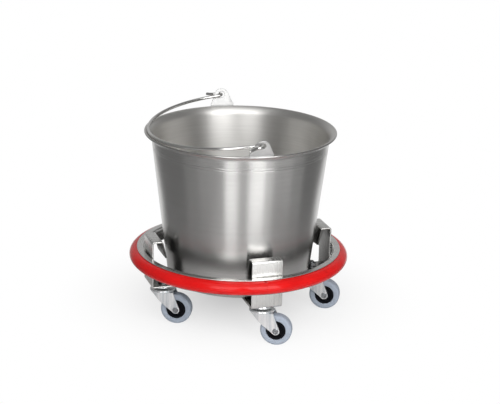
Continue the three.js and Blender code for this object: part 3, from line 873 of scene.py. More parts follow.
@dataclass
class Bucket:
    """The conical bucket with its two ears and its wire bail."""

    foot_z: float = 68.8
    height: float = 242.2
    foot_r: float = 113.0
    mouth_r: float = 142.4
    sheet: float = 1.2
    corner_r: float = 8.0
    corner_steps: int = 10
    wall_step: float = 6.0
    turn: float = math.radians(-5.4)
    overhang: float = 9.9
    curl_r: float = 0.95
    curl_points: int = 22
    lip_tilt: float = math.radians(15)
    curl_turn: float = math.radians(255)
    flare_points: int = 14
    line_drops: Pair = (23.5, 27.5)
    line_depth: float = 0.22
    line_width: float = 0.45
    line_margin: float = 3.0
    line_clear: float = 0.2
    line_points: int = 56
    seat_gap: float = 0.3
    ear_width: float = 40.0
    ear_height: float = 28.4
    ear_crown_r: float = 11.5
    ear_crown_points: int = 41
    ear_corner_r: float = 1.5
    ear_corner_steps: int = 6
    ear_step: float = 1.2
    ear_sheet: float = 2.0
    ear_edge_r: float = 0.5
    ear_edge_points: int = 5
    ear_lean: float = math.radians(20)
    ear_inset: float = 2.3
    hole_height: float = 18.3
    hole_r: float = 5.0
    weld_r: float = 1.1
    weld_sides: int = 14
    weld_points: int = 120
    weld_inset: float = 1.0
    weld_sink: float = 0.25
    weld_taper: int = 10
    weld_ripple: float = 0.07
    weld_pitch: float = 1.6
    wire_r: float = 2.5
    wire_sides: int = 22
    bail_inset: float = 5.8
    hook_inside: float = 5.2
    hook_outside: float = 7.6
    hook_end_reach: float = 21.6
    hook_end_spread: float = 9.0
    hook_end_points: int = 14
    hairpin_points: int = 34
    bow_points: int = 90
    cut_rise: tuple[float, ...] = (0.25, 0.35, 0.2, -0.6, -0.8)
    cut_size: tuple[float, ...] = (0.93, 0.8, 0.62, 0.4, 0.0)
    around: int = 288

    def __post_init__(self) -> None:
        """Works out the lip, the ears' seat and the bail's resting angle from the sizes."""
        self.lip_r = self.mouth_r + self.overhang
        self.lip_z = self.foot_z + self.height
        self.slope = (self.mouth_r - self.foot_r) / self.height
        self.wall_tilt = math.pi / 2 - math.atan(self.slope)
        self.middle = self.sheet / 2 / math.sin(self.wall_tilt)
        run = math.sin(self.wall_tilt) - math.sin(self.lip_tilt)
        rise = math.cos(self.lip_tilt) - math.cos(self.wall_tilt)
        end_r = self.lip_r - self.sheet / 2 - self.curl_r * (1 + math.sin(self.lip_tilt))
        end_z = self.lip_z - self.sheet / 2 - self.curl_r * (1 - math.cos(self.lip_tilt))
        wall_r = self.foot_r + self.slope * (end_z - self.foot_z) - self.middle
        self.flare_r = (end_r - wall_r) / (run - self.slope * rise)
        self.flare_start = np.array([end_r - self.flare_r * run, end_z - self.flare_r * rise])
        side = self.wall_tilt - math.pi / 2
        self.flare_centre = self.flare_start + self.flare_r * np.array([math.cos(side), math.sin(side)])
        self.ear_r = self.lip_r - self.ear_inset
        self.ear_z = self.lip_z + self.seat_gap + self.ear_sheet / 2 * math.sin(self.ear_lean)
        self.hinge_r = self.ear_r + self.hole_height * math.sin(self.ear_lean)
        self.hinge_z = self.ear_z + self.hole_height * math.cos(self.ear_lean)
        self.bail_reach = self.lip_r - self.bail_inset
        touch = self.flare_r + self.sheet / 2 + self.wire_r + self.seat_gap
        arm = np.array([self.flare_centre[0], self.hinge_z - self.flare_centre[1]])
        length = float(np.linalg.norm(arm))
        cosine = (self.bail_reach**2 + length**2 - touch**2) / (2 * self.bail_reach * length)
        self.bail_rest = math.atan2(arm[1], arm[0]) - math.acos(cosine)

    def shell_profile(self) -> Array:
        """The shell's outline from the axis, under the floor, up the wall, round the curl and back.

        The middle line is a floor, a round corner, a straight wall, a flare arc and a curl. Two
        faint rolled lines are dips of the outer face by a bell curve of the height.

        Returns:
            Radius and height of each point of the sheet's outline.
        """
        floor_z = self.foot_z + self.sheet / 2
        corner = self.foot_r - self.middle + self.slope * self.sheet / 2
        wall = spread(rounded([(0, floor_z), (corner, floor_z), self.flare_start],
                              self.corner_r - self.sheet / 2, self.corner_steps), self.wall_step)
        low = self.lip_z - max(self.line_drops) - self.line_margin
        high = self.lip_z - min(self.line_drops) + self.line_margin
        fine = np.linspace(low, high, self.line_points)
        base = self.flare_start[0] - self.slope * (self.flare_start[1] - fine)
        below = wall[wall[:, 1] < low - self.line_clear]
        wall = np.concatenate([below, np.stack([base, fine], 1), wall[-1:]])
        flare = right_turn(self.flare_start, self.wall_tilt, self.flare_r,
                           self.wall_tilt - self.lip_tilt, self.flare_points)
        curl = right_turn(flare[-1], self.lip_tilt, self.curl_r, self.curl_turn, self.curl_points)
        outline = sheet_outline(np.concatenate([wall, flare, curl]), self.sheet, round_start=False)
        outline[[0, -1], 0] = 0.0
        outer = outline[:len(wall)]
        for drop in self.line_drops:
            away = (outer[:, 1] - self.lip_z + drop) / self.line_width
            outer[:, 0] -= self.line_depth * np.exp(-(away**2))
        return outline

    def ear_patch(self) -> Patch:
        """One ear at -Y: rings from the hole to the outline, over both faces and round both edges.

        Every ray from the hole's centre meets the hole's circle and the convex outline once. A
        point is a share of the way between the two, at a height through the sheet, and both
        edges are quarter rounds.

        Returns:
            The patch, leaning outward on the lip.
        """
        half, crown_z = self.ear_width / 2, self.ear_height - self.ear_crown_r
        tangent = math.acos(self.ear_crown_r / math.hypot(half, crown_z)) - math.atan2(crown_z, half)
        crown = arc((0, crown_z), self.ear_crown_r, tangent, math.pi - tangent, self.ear_crown_points)
        base = rounded([crown[-1], (-half, 0), (half, 0), crown[0]], self.ear_corner_r, self.ear_corner_steps)
        loop = spread(np.concatenate([crown, base[1:]]), self.ear_step)[:-1]
        centre = np.array([0, self.hole_height])
        ray = loop - centre
        unit = ray / np.linalg.norm(ray, axis=1, keepdims=True)
        hole = centre + self.hole_r * unit
        quarter = np.linspace(0, math.pi / 2, self.ear_edge_points)
        inset = self.ear_edge_r * (1 - np.sin(quarter))
        level = self.ear_sheet / 2 - self.ear_edge_r * (1 - np.cos(quarter))
        inset, level = np.concatenate([inset, inset[::-1]]), np.concatenate([level, -level[::-1]])
        flat = np.concatenate([loop - unit * inset[:, None, None], hole + unit * inset[::-1, None, None]])
        depth = np.broadcast_to(np.concatenate([level, level[::-1]])[:, None], flat.shape[:2])
        plate = Patch(np.stack([flat[..., 0], depth, flat[..., 1]], -1), close_rows=True, close_cols=True)
        return plate.tipped(self.ear_lean).moved(0, -self.ear_r, self.ear_z)

    def weld_patch(self, outside: bool) -> Patch:
        """A weld bead along the foot of the ear at -Y: a tube with ripples and tapered ends.

        The tube's radius is a slow bulge that falls to nothing at both ends, times one plus a
        small wave for the ripples.

        Args:
            outside: True for the bead on the ear's outer face.

        Returns:
            The patch.
        """
        half = self.ear_width / 2 - self.weld_inset
        along = np.linspace(-half, half, self.weld_points)
        offset = (-1.0 if outside else 1.0) * (self.ear_sheet / 2 + self.weld_sink)
        path = np.stack([along, np.full_like(along, -self.ear_r + offset),
                         np.full_like(along, self.lip_z + self.weld_sink)], 1)
        bulge = np.sqrt(np.clip(1 - (along / half) ** self.weld_taper, 0, 1))
        size = bulge * (1 + self.weld_ripple * np.cos(along * TAU / self.weld_pitch))
        return sweep(path, circle(self.weld_r, self.weld_sides), np.array([0, 0, 1.0]), size)

    def bail_path(self) -> Array:
        """Half of the bail's middle line, as reach from the hinge and distance along the hinge.

        It runs from the free end along a curve, round the hairpin's half circle and along a
        quarter of an ellipse to the bow's middle.

        Returns:
            The points from the free end to the middle of the bow.
        """
        turn_r = (self.hook_inside + self.hook_outside) / 2
        turn_y = self.hinge_r + (self.hook_outside - self.hook_inside) / 2
        t = np.linspace(0, 1, self.hook_end_points)[:, None]
        end = np.array([self.hook_end_reach, self.hinge_r + self.hook_outside + self.hook_end_spread])
        start = np.array([turn_r, turn_y + turn_r])
        knee = np.array([(start[0] + end[0]) / 2, start[1]])
        free = end * (1 - t) ** 2 + 2 * knee * t * (1 - t) + start * t**2
        hairpin = arc((turn_r, turn_y), turn_r, math.pi / 2, 1.5 * math.pi, self.hairpin_points)
        angle = np.linspace(math.pi / 2, 0, self.bow_points)
        bow = np.stack([turn_r + (self.bail_reach - turn_r) * np.cos(angle),
                        (self.hinge_r - self.hook_inside) * np.sin(angle)], 1)
        return np.concatenate([free, hairpin[1:], bow[1:]])

    def cut_end(self, ring: Array, centre: Array, out: Array) -> Array:
        """Rings that close a cut end of the wire, in round its edge and back into a shallow dish.

        Args:
            ring: The wire's last ring.
            centre: The ring's centre.
            out: Direction out of the wire, of any length.

        Returns:
            Points of the ring by rings by three.
        """
        out = out / np.linalg.norm(out)
        rise, size = np.array(self.cut_rise)[:, None], np.array(self.cut_size)[:, None]
        return centre + rise * out + size * (ring - centre)[:, None]

    def bail_patch(self) -> Patch:
        """The bail lying on the lip towards -X: a round wire with dished ends.

        The path lies in one plane through the hinge.

        Returns:
            The patch.
        """
        half = self.bail_path()
        route = np.concatenate([half * (1, -1), half[-2::-1]])
        drop, run = math.sin(self.bail_rest), math.cos(self.bail_rest)
        path = np.stack([-route[:, 0] * run, route[:, 1], self.hinge_z - route[:, 0] * drop], 1)
        tube = sweep(path, circle(self.wire_r, self.wire_sides), np.array([-drop, 0, run])).points
        first = self.cut_end(tube[:, 0], path[0], path[0] - path[1])
        last = self.cut_end(tube[:, -1], path[-1], path[-1] - path[-2])
        return Patch(np.concatenate([first[:, ::-1], tube, last], 1), close_rows=True)

    def build(self, shop: Workshop) -> None:
        """Makes the shell, the ears with their welds, and the bail.

        Args:
            shop: The workshop that makes the pieces.
        """
        shell = revolve(self.shell_profile(), self.around, closed=False)
        shop.fit("spun_shell", [shell.turned(self.turn)], "bucket", BrushedSteel, ["bucket_shell"])
        for side, angle in (("front", self.turn), ("back", self.turn + math.pi)):
            ear = self.ear_patch().turned(angle)
            shop.fit(f"lug_{side}", [ear], "bucket", SatinSteel, [f"ear_{side}"])
            beads = [self.weld_patch(outside).turned(angle) for outside in (True, False)]
            shop.fit(f"lug_weld_{side}", beads, "bucket", SatinSteel)
        shop.fit("wire_bail", [self.bail_patch().turned(self.turn)], "bail", DrawnWire, ["bail"])


@dataclass
class RingCart:
    """The cart's ring with its bumper, and the four bent strips."""

    foot_z: float = 66.0
    strip_width: float = 50.0
    strip_sheet: float = 2.5
    strip_bend_r: float = 4.0
    strip_bend_steps: int = 8
    strip_edge_r: float = 1.0
    strip_edge_steps: int = 4
    strip_step: float = 4.0
    cut_lead: tuple[float, ...] = (0.0, 0.0, 0.25, 0.6)
    cut_size: tuple[float, ...] = (0.0, 0.965, 0.99, 1.0)
    bracket_height: float = 77.5
    foot_start: float = 92.0
    leg_face: float = 150.133
    guide_depth: float = 18.0
    guide_drop: float = 28.0
    guide_face: float = 125.669
    ring_inner_r: float = 152.5
    ring_z: float = 93.5
    ring_height: float = 24.5
    ring_flange: float = 10.3
    ring_sheet: float = 1.5
    ring_bend_r: float = 2.2
    ring_bend_steps: int = 6
    ring_step: float = 3.0
    seat_gap: float = 0.3
    bulge: float = 13.0
    bulge_points: int = 33
    bumper_step: float = 2.5
    joint_gap: float = 0.12
    joint_angle: float = math.radians(-92.5)
    joint_edge: float = 0.992
    notch_depth: float = 2.0
    notch_reach: float = 1.8
    notch_width: float = 4.0
    notch_span: float = 2.5
    notch_points: int = 12
    around: int = 288

    def ring_profile(self) -> Array:
        """The channel's sheet outline: two flanges on a web, open outward, with round bends.

        Returns:
            Radius and height of each point.
        """
        low = self.ring_z + self.ring_sheet / 2
        high = self.ring_z + self.ring_height - self.ring_sheet / 2
        web, edge = self.ring_inner_r + self.ring_sheet / 2, self.ring_inner_r + self.ring_flange
        path = rounded([(edge, low), (web, low), (web, high), (edge, high)],
                       self.ring_bend_r - self.ring_sheet / 2, self.ring_bend_steps)
        return sheet_outline(spread(path, self.ring_step), self.ring_sheet)

    def bumper_section(self) -> Array:
        """The D section: a flat root in the channel and half an ellipse outside it.

        Returns:
            Radius and height of each point.
        """
        root = self.ring_inner_r + self.ring_sheet + self.seat_gap
        face = self.ring_inner_r + self.ring_flange
        middle = self.ring_z + self.ring_height / 2
        half = self.ring_height / 2 - self.ring_sheet - self.seat_gap
        angle = np.linspace(-math.pi / 2, math.pi / 2, self.bulge_points)
        outer = np.stack([face + self.bulge * np.cos(angle), middle + half * np.sin(angle)], 1)
        path = np.concatenate([[(root, middle - half)], outer, [(root, middle + half)]])
        return spread(np.concatenate([path, path[:1]]), self.bumper_step)[:-1]

    def bumper_patch(self) -> Patch:
        """The D section carried round the ring from one side of the butt joint to the other.

        Both ends close flat. Beside the joint the upper edge dips by a bell curve of the distance
        along the strip, so that the joint shows as a small notch at the flange.

        Returns:
            The patch.
        """
        section = self.bumper_section()
        centre = section.mean(0)
        face_r = self.ring_inner_r + self.ring_flange
        half_gap = self.joint_gap / 2 / (face_r + self.bulge)
        even = np.linspace(0, TAU, self.around + 1)
        near_joint = np.linspace(0, self.notch_reach * self.notch_span, self.notch_points) / face_r
        lead = np.concatenate([[0.0], near_joint]) + half_gap
        inner = even[(even > lead[-1]) & (even < TAU - lead[-1])]
        angle = np.concatenate([lead, inner, TAU - lead[::-1]])
        size = np.ones(len(angle))
        size[[0, -1]], size[[1, -2]] = 0.0, self.joint_edge
        points = centre + size[None, :, None] * (section[:, None] - centre)
        away = np.minimum(angle, TAU - angle) * face_r / self.notch_reach
        upper = np.clip((section[:, 1] - centre[1]) / np.ptp(section[:, 1]) * 2, 0, 1) ** 3
        near = np.exp(-(((section[:, 0] - face_r) / self.notch_width) ** 2))
        points[..., 1] -= self.notch_depth * np.outer(upper * near, np.exp(-away**2)) * size
        radius, height = points[..., 0], points[..., 1]
        points = np.stack([radius * np.cos(angle), radius * np.sin(angle), height], -1)
        return Patch(points, close_rows=True).turned(self.joint_angle)

    def bracket_patch(self) -> Patch:
        """One bent strip on +X: a rounded rectangle carried along foot, leg, top and guide.

        At both cut ends the section draws in over a few close steps and closes flat.

        Returns:
            The patch.
        """
        middle = self.strip_sheet / 2
        foot, roof = self.foot_z + middle, self.foot_z + self.bracket_height
        leg, top, guide = self.leg_face - middle, roof - middle, self.leg_face - self.guide_depth + middle
        corners = [(self.foot_start, foot), (leg, foot), (leg, top), (guide, top),
                   (self.guide_face + middle, roof - self.guide_drop)]
        flat = spread(rounded(corners, self.strip_bend_r - middle, self.strip_bend_steps), self.strip_step)
        lead, size = np.array(self.cut_lead), np.array(self.cut_size)
        ahead, back = flat[1] - flat[0], flat[-2] - flat[-1]
        first = flat[0] + np.outer(lead, ahead / np.linalg.norm(ahead))
        last = flat[-1] + np.outer(lead[::-1], back / np.linalg.norm(back))
        line = np.concatenate([first, flat[1:-1], last])
        normal = normals_of(flat)
        normal = np.concatenate([normal[[0] * len(lead)], normal[1:-1], normal[[-1] * len(lead)]])
        path, inward = (np.insert(plane, 1, 0.0, axis=1) for plane in (line, normal))
        scale = np.concatenate([size, np.ones(len(flat) - 2), size[::-1]])
        section = rounded_rectangle(self.strip_sheet, self.strip_width, self.strip_edge_r,
                                    self.strip_edge_steps)
        return sweep(path, section, np.array([0, 1.0, 0]), scale, inward)

    def build(self, shop: Workshop) -> None:
        """Makes the ring, the bumper and the four strips.

        Args:
            shop: The workshop that makes the pieces.
        """
        ring = revolve(self.ring_profile(), self.around)
        shop.fit("rolled_ring", [ring], "cart", PolishedSteel, ["ring_channel"])
        shop.fit("bumper_strip", [self.bumper_patch()], "cart", RedVinyl, ["bumper"])
        for corner in Corner:
            strip = self.bracket_patch().turned(corner.angle)
            shop.fit(f"strip_{corner.word}", [strip], "cart", StripSteel, [f"bracket_{corner.word}"])


class HeadFace(Enum):
    """Faces of bolt heads, as shares of the head's radius and rises above its lowest level."""

    PLAIN = ((0.0, 0.0), (0.5, 0.05), (0.8, 0.35))
    DISHED = ((0.0, 0.7), (0.16, 0.65), (0.26, 0.1), (0.32, 0.0), (0.56, 0.0), (0.62, 0.1),
              (0.66, 1.0), (0.78, 1.0), (0.82, 0.4), (0.86, 0.3))


@dataclass(frozen=True)
class Bolt:
    """A bolt about Z, head down, with a helical thread near its end.

    Attributes:
        face: The head's face.
        head_r: Radius of the head.
        head: Height of the head.
        shank_r: Radius of the shank.
        seat: Height of the head's seat.
        end: Height of the bolt's end.
        thread_from: Height where the thread starts.
        pitch: Pitch of the thread.
    """

    ROUND: ClassVar[tuple[Pair, ...]] = ((0.93, 0.3), (1.0, 0.55))
    EDGE: ClassVar[float] = 0.15
    FILLET: ClassVar[float] = 0.2
    TIP: ClassVar[Pair] = (0.78, 0.6)
    THREAD_STOP: ClassVar[float] = 0.7
    THREAD_DEPTH: ClassVar[float] = 0.5
    CORE: ClassVar[float] = 0.9
    RUN_OUT: ClassVar[Pair] = (0.4, 0.3)
    STEPS: ClassVar[int] = 8
    AROUND: ClassVar[int] = 40
    face: HeadFace
    head_r: float
    head: float
    shank_r: float
    seat: float
    end: float
    thread_from: float
    pitch: float

    def profile(self) -> Array:
        """The bolt's outline from the head's face to the tip, with close rows over the thread.

        Returns:
            Radius and height of each row.
        """
        low = self.seat - self.head
        face = [(share * self.head_r, low + rise) for share, rise in self.face.value]
        rim = [(share * self.head_r, low + rise * self.head) for share, rise in self.ROUND]
        edge = [(self.head_r, self.seat - self.EDGE), (self.head_r - self.EDGE, self.seat)]
        shank = [(self.shank_r + self.FILLET, self.seat), (self.shank_r, self.seat + self.FILLET),
                 (self.shank_r, self.thread_from)]
        step = self.pitch / self.STEPS
        levels = np.arange(self.thread_from + step, self.end - self.THREAD_STOP, step)
        thread = np.stack([np.full_like(levels, self.shank_r), levels], 1)
        tip = [(self.shank_r, self.end - self.TIP[1]), (self.TIP[0] * self.shank_r, self.end), (0, self.end)]
        return np.concatenate([np.array(face + rim + edge + shank), thread, np.array(tip)])

    def patch(self) -> Patch:
        """The bolt's surface.

        The radius is the profile's, less a triangle wave of the height and the angle over the
        threaded stretch, so that the crest climbs one pitch in each turn.

        Returns:
            The patch.
        """
        points = revolve(self.profile(), self.AROUND, closed=False).points
        z = points[..., 2]
        phase = (z / self.pitch - np.arange(self.AROUND) / self.AROUND) % 1.0
        depth = self.THREAD_DEPTH * self.pitch * (1 - np.abs(2 * phase - 1))
        stop, fade = self.RUN_OUT
        depth *= np.clip((z - self.thread_from) / self.pitch, 0, 1)
        depth *= np.clip((self.end - stop - z) / fade, 0, 1)
        radius = np.hypot(points[..., 0], points[..., 1])
        shrink = 1 - depth / np.maximum(radius, Workshop.MERGE) * (radius > self.CORE * self.shank_r)
        return Patch(points * np.stack([shrink, shrink, np.ones_like(shrink)], -1), close_cols=True)


@dataclass(frozen=True)
class Nut:
    """A hexagon nut about Z, standing on zero, with chamfered corners.

    Attributes:
        across: Width across flats.
        height: Height of the nut.
        bore_r: Radius of the bore.
    """

    AROUND: ClassVar[int] = 72
    DROPS: ClassVar[tuple[float, ...]] = (0.0, 0.35, 0.7, 1.05, 1.5)
    CHAMFER: ClassVar[float] = 1.05
    CHAMFER_SLOPE: ClassVar[float] = 1.55
    COUNTERSINK: ClassVar[float] = 0.5
    across: float
    height: float
    bore_r: float

    def patch(self) -> Patch:
        """The nut's surface.

        The outer radius is the lesser of the hexagon's at that angle and a cone that falls off
        towards both faces.

        Returns:
            The patch.
        """
        angle = np.arange(self.AROUND) * TAU / self.AROUND
        flat = self.across / 2 / np.cos((angle + math.pi / 6) % (math.pi / 3) - math.pi / 6)
        drop = np.array(self.DROPS)
        z = np.concatenate([drop, self.height - drop[::-1]])
        near_face = np.clip(self.CHAMFER - np.minimum(z, self.height - z), 0, None)
        cone = self.across / math.sqrt(3) - self.CHAMFER_SLOPE * near_face
        bore = np.full((1, self.AROUND), self.bore_r)
        mouth = bore + self.COUNTERSINK
        radius = np.concatenate([mouth, np.minimum(flat[None], cone[:, None]), mouth, bore, bore])
        level = np.concatenate([[0.0], z, [self.height, self.height - self.COUNTERSINK, self.COUNTERSINK]])
        points = np.stack([radius * np.cos(angle), radius * np.sin(angle),
                           np.broadcast_to(level[:, None], radius.shape)], -1)
        return Patch(points, close_rows=True, close_cols=True)


@dataclass
class Caster:
    """One swivel caster: kingpin, bearing, pressed fork, axle and wheel.

    GROOVE holds offsets from the ball circle and depths below the fork's top. TREAD_SIDE holds
    offsets from the tread's inner edge, and TREAD_CROWN offsets from its outer radius and
    distances from its middle. HUB_RING holds radii and rises above the hub's web.
    """

    GROOVE: ClassVar[tuple[Pair, ...]] = (
        (-3.5, 0.0), (-1.9, 0.0), (-1.1, 0.35), (0.0, 0.6), (1.1, 0.35), (1.9, 0.0), (4.5, 0.0))
    TREAD_SIDE: ClassVar[tuple[Pair, ...]] = ((0.0, -0.6), (0.5, -0.1), (1.6, 0.0))
    TREAD_CROWN: ClassVar[tuple[Pair, ...]] = ((-0.1, 2.5), (0.0, 0.5), (0.0, 0.2))
    HUB_RING: ClassVar[tuple[Pair, ...]] = ((9.3, 0.0), (9.5, 0.7), (10.3, 0.7), (10.5, 0.0))
    corner: Corner
    swivel_r: float = 126.477
    heading: float = math.radians(-26)
    trail: float = 23.5
    axle_z: float = 24.692
    wheel_r: float = 25.0
    wheel_width: float = 18.0
    wheel_around: int = 128
    shoulder_r: float = 4.0
    shoulder_sink: float = 0.18
    shoulder_points: int = 10
    hub_r: float = 15.4
    hub_rim: float = 2.6
    hub_rim_slope: float = 1.0
    hub_web: float = 8.0
    hub_boss_r: float = 7.5
    hub_boss_slope: float = 0.9
    hub_recess: float = 1.2
    hub_edge_r: float = 0.16
    hub_middle: float = 0.5
    hub_around: int = 96
    bush_r: float = 4.6
    bush_edge_r: float = 0.2
    bush_around: int = 40
    axle_r: float = 3.0
    axle_head_r: float = 4.6
    axle_head: float = 2.4
    axle_pitch: float = 1.0
    axle_thread: float = 3.0
    axle_nut: float = 10.0
    axle_nut_height: float = 5.0
    fork_top: float = 58.0
    fork_sheet: float = 2.0
    fork_edge: float = 0.35
    fork_edge_angle: float = math.radians(50)
    head_r: float = 20.0
    head_rim: float = 3.0
    head_edge_r: float = 2.0
    head_edge_points: int = 7
    neck_step: float = 0.8
    neck_rows: int = 8
    leg_flare: float = 0.068
    leg_points: int = 26
    leg_rows: int = 18
    heel_drop: float = 3.0
    eye_r: float = 6.3
    eye_rows: int = 14
    leg_y: float = 12.2
    flank_slope: float = 0.6
    crease_lean: float = 0.18
    crease_share: float = 0.64
    web_reach: float = 30.0
    web_angle: float = math.radians(152)
    web_points: int = 15
    web_rows: int = 22
    web_corner: tuple[int, int] = (7, 6)
    web_corner_passes: int = 5
    ball_r: float = 2.2
    ball_circle_r: float = 11.5
    ball_count: int = 14
    ball_z: float = 60.5
    ball_rows: int = 13
    ball_around: int = 18
    cage_width: float = 2.6
    cage_height: float = 1.4
    cage_around: int = 64
    cap_low: float = 63.0
    cap_top: float = 65.7
    cap_skirt: float = 2.0
    cap_edge_r: float = 0.35
    cap_edge_steps: int = 4
    cap_step: float = 1.5
    cap_around: int = 96
    edge_steps: int = 3
    kingpin_r: float = 4.0
    kingpin_head_r: float = 7.0
    kingpin_head: float = 3.5
    kingpin_end: float = 80.1
    thread_pitch: float = 1.25
    nut_across: float = 13.0
    nut_z: float = 71.1
    nut_height: float = 6.5
    washer_r: float = 7.4
    washer_z: float = 68.8
    washer_height: float = 2.0
    washer_sheet: float = 1.7
    washer_edge_r: float = 0.25
    washer_climb: float = 0.12
    washer_split: float = 0.06
    washer_points: int = 70
    run_gap: float = 0.4
    seat_gap: float = 0.3

    def stood(self, *patches: Patch) -> list[Patch]:
        """Patches in the caster's own frame, turned to its heading and moved to its corner."""
        x, y = self.swivel_r * math.cos(self.corner.angle), self.swivel_r * math.sin(self.corner.angle)
        return [patch.turned(self.heading).moved(x, y, 0) for patch in patches]

    def on_axle(self, patch: Patch) -> list[Patch]:
        """A patch built about Z, laid along the axle with its +Z towards +Y, and stood."""
        return self.stood(patch.tipped(-math.pi / 2).moved(self.trail, 0, self.axle_z))

    def washer_patch(self) -> Patch:
        """A split spring washer: a square section carried once round, climbing a little.

        Returns:
            The patch.
        """
        inner = self.kingpin_r + self.run_gap
        section = rounded_rectangle(self.washer_r - inner, self.washer_sheet, self.washer_edge_r,
                                    self.edge_steps)
        turn = np.linspace(self.washer_split, TAU - self.washer_split, self.washer_points)
        turn = np.concatenate([turn[:1], turn, turn[-1:]])
        size = np.ones((len(turn), 1))
        size[[0, -1]] = 0.0
        climb = self.washer_z + self.washer_height / 2 + self.washer_climb * (turn / math.pi - 1)
        radius = (self.washer_r + inner) / 2 + size * section[:, 0]
        height = climb[:, None] + size * section[:, 1]
        points = np.stack([radius * np.cos(turn)[:, None], radius * np.sin(turn)[:, None], height], -1)
        return Patch(points.swapaxes(0, 1), close_rows=True)

    def cap_profile(self) -> Array:
        """The upper race: a pressed cup with a flat top, round shoulder and hanging skirt.

        Returns:
            Radius and height of each point.
        """
        bore, skirt_r = self.kingpin_r + self.run_gap, self.ball_circle_r + self.ball_r + self.run_gap
        skirt_z = self.cap_low - self.cap_skirt
        sheet = self.cap_top - self.cap_low
        corners = [(bore, self.cap_low), (skirt_r, self.cap_low), (skirt_r, skirt_z),
                   (skirt_r + sheet, skirt_z), (skirt_r + sheet / 2, self.cap_top), (bore, self.cap_top)]
        loop = rounded(corners + corners[:1], self.cap_edge_r, self.cap_edge_steps)
        return spread(loop, self.cap_step)[:-1]

    def ball_patches(self) -> list[Patch]:
        """The cage's flat ring and its balls, each a sphere of longitudes and latitudes.

        Returns:
            The ring's patch and one for each ball.
        """
        side, half = self.cage_width / 2, self.cage_height / 2
        ring = np.array([(-side, -half), (side, -half), (side, half), (-side, half)])
        latitude = np.linspace(-math.pi / 2, math.pi / 2, self.ball_rows)
        globe = self.ball_r * np.stack([np.cos(latitude), np.sin(latitude)], 1)
        ball = revolve(globe, self.ball_around, closed=False)
        spots = circle(self.ball_circle_r, self.ball_count)
        return [revolve(ring + (self.ball_circle_r, self.ball_z), self.cage_around),
                *(ball.moved(x, y, self.ball_z) for x, y in spots)]

    def fork_rows(self) -> Array:
        """The pressed fork's outer face from the kingpin hole down to the end of its front web.

        The head's rows are circles. Below the neck, each row is the fork's section at one height:
        flat legs with slanting flanks, joined by the web in front and cut by the heel's line
        behind. A row runs from the heel along one leg, across the web and back. The corner of leg
        and web is eased by passes that move each point half the way to its neighbours' middle.

        Returns:
            The rows of points.
        """
        rim_z = self.fork_top - self.head_rim
        heel_z = rim_z - self.heel_drop
        z = np.concatenate([np.linspace(rim_z - self.neck_step, heel_z, self.neck_rows),
                            np.linspace(heel_z, self.web_end[1], self.web_rows)[1:]])
        half = self.leg_section(z)
        web_x, web_y = half[:, -1:, 0], half[:, -1:, 1] * np.linspace(1, 0, self.web_points)[1:]
        web = np.stack([np.broadcast_to(web_x, web_y.shape), web_y], -1)
        side = np.concatenate([half, web], 1)
        first, last = self.leg_points - self.web_corner[0], self.leg_points + self.web_corner[1]
        for _ in range(self.web_corner_passes):
            middle = (side[:, first - 1:last - 1] + side[:, first + 1:last + 1]) / 2
            side[:, first:last] = 0.5 * side[:, first:last] + 0.5 * middle
        full = np.concatenate([side * (1, -1), side[:, -2::-1]], 1)
        body = np.concatenate([full, np.broadcast_to(z[:, None, None], (*full.shape[:2], 1))], -1)
        return self.head_rows(body)

    def head_rows(self, body: Array) -> Array:
        """The head's circles above the body's rows, with their points spread over the whole turn.

        Args:
            body: The rows below, open at the heel, whose first becomes the neck's circle.

        Returns:
            The head's and the body's rows.
        """
        heading = np.unwrap(np.arctan2(body[0, :, 1], body[0, :, 0]))
        around = -TAU * (heading - heading[0]) / (heading[-1] - heading[0])
        unit = np.stack([np.cos(around), np.sin(around), np.zeros_like(around)], 1)
        top, edge_r = self.fork_top, self.head_edge_r
        profile = np.concatenate([
            [(self.kingpin_r + self.run_gap, top)],
            [(self.ball_circle_r + offset, top - depth) for offset, depth in self.GROOVE],
            arc((self.head_r - edge_r, top - edge_r), edge_r, math.pi / 2, 0, self.head_edge_points),
            [(self.head_r, top - self.head_rim)],
        ])
        rows = profile[:, :1, None] * unit + profile[:, 1:, None] * (0, 0, 1)
        body[0, :, :2] = (self.head_r - self.neck_step) * unit[:, :2]
        return np.concatenate([rows, body])

    @property
    def axle_point(self) -> Array:
        """The axle's place in the fork's side view."""
        return np.array([self.trail, self.axle_z])

    @property
    def web_end(self) -> Array:
        """The lower end of the front web in the side view."""
        slant = np.array([math.cos(self.web_angle), math.sin(self.web_angle)])
        return self.axle_point + self.web_reach * slant

    def eye_touch(self, point: Array, side: float) -> Array:
        """Where a line from a point touches the round eye about the axle, in the side view.

        Args:
            point: The point that the line starts from.
            side: 1 for the touch that lies anticlockwise from the point, -1 for the other.

        Returns:
            The place of the touch.
        """
        arm = point - self.axle_point
        angle = math.atan2(arm[1], arm[0]) + side * math.acos(self.eye_r / np.linalg.norm(arm))
        return self.axle_point + self.eye_r * np.array([math.cos(angle), math.sin(angle)])

    def edges(self, z: Array) -> tuple[Array, Array]:
        """The leading and trailing edge of the fork's side view at some heights.

        In front, the web's line runs from the brow to its end, and a line from there touches the
        eye. Behind, a line from the heel touches the eye. Around the axle both follow its circle.

        Args:
            z: Heights.

        Returns:
            Leading and trailing x at each height.
        """
        brow = np.array([-self.head_r, self.fork_top - self.head_rim])
        heel = np.array([self.head_r, self.fork_top - self.head_rim - self.heel_drop])
        ahead = np.stack([self.eye_touch(self.web_end, 1.0), self.web_end, brow])
        behind = np.stack([self.eye_touch(heel, -1.0), heel])
        chord = np.sqrt(np.clip(self.eye_r**2 - (z - self.axle_z) ** 2, 0, None))
        lead, trail = (
            np.where(z > line[0, 1], np.interp(z, line[:, 1], line[:, 0]), self.trail + way * chord)
            for line, way in ((ahead, -1), (behind, 1)))
        return lead, trail

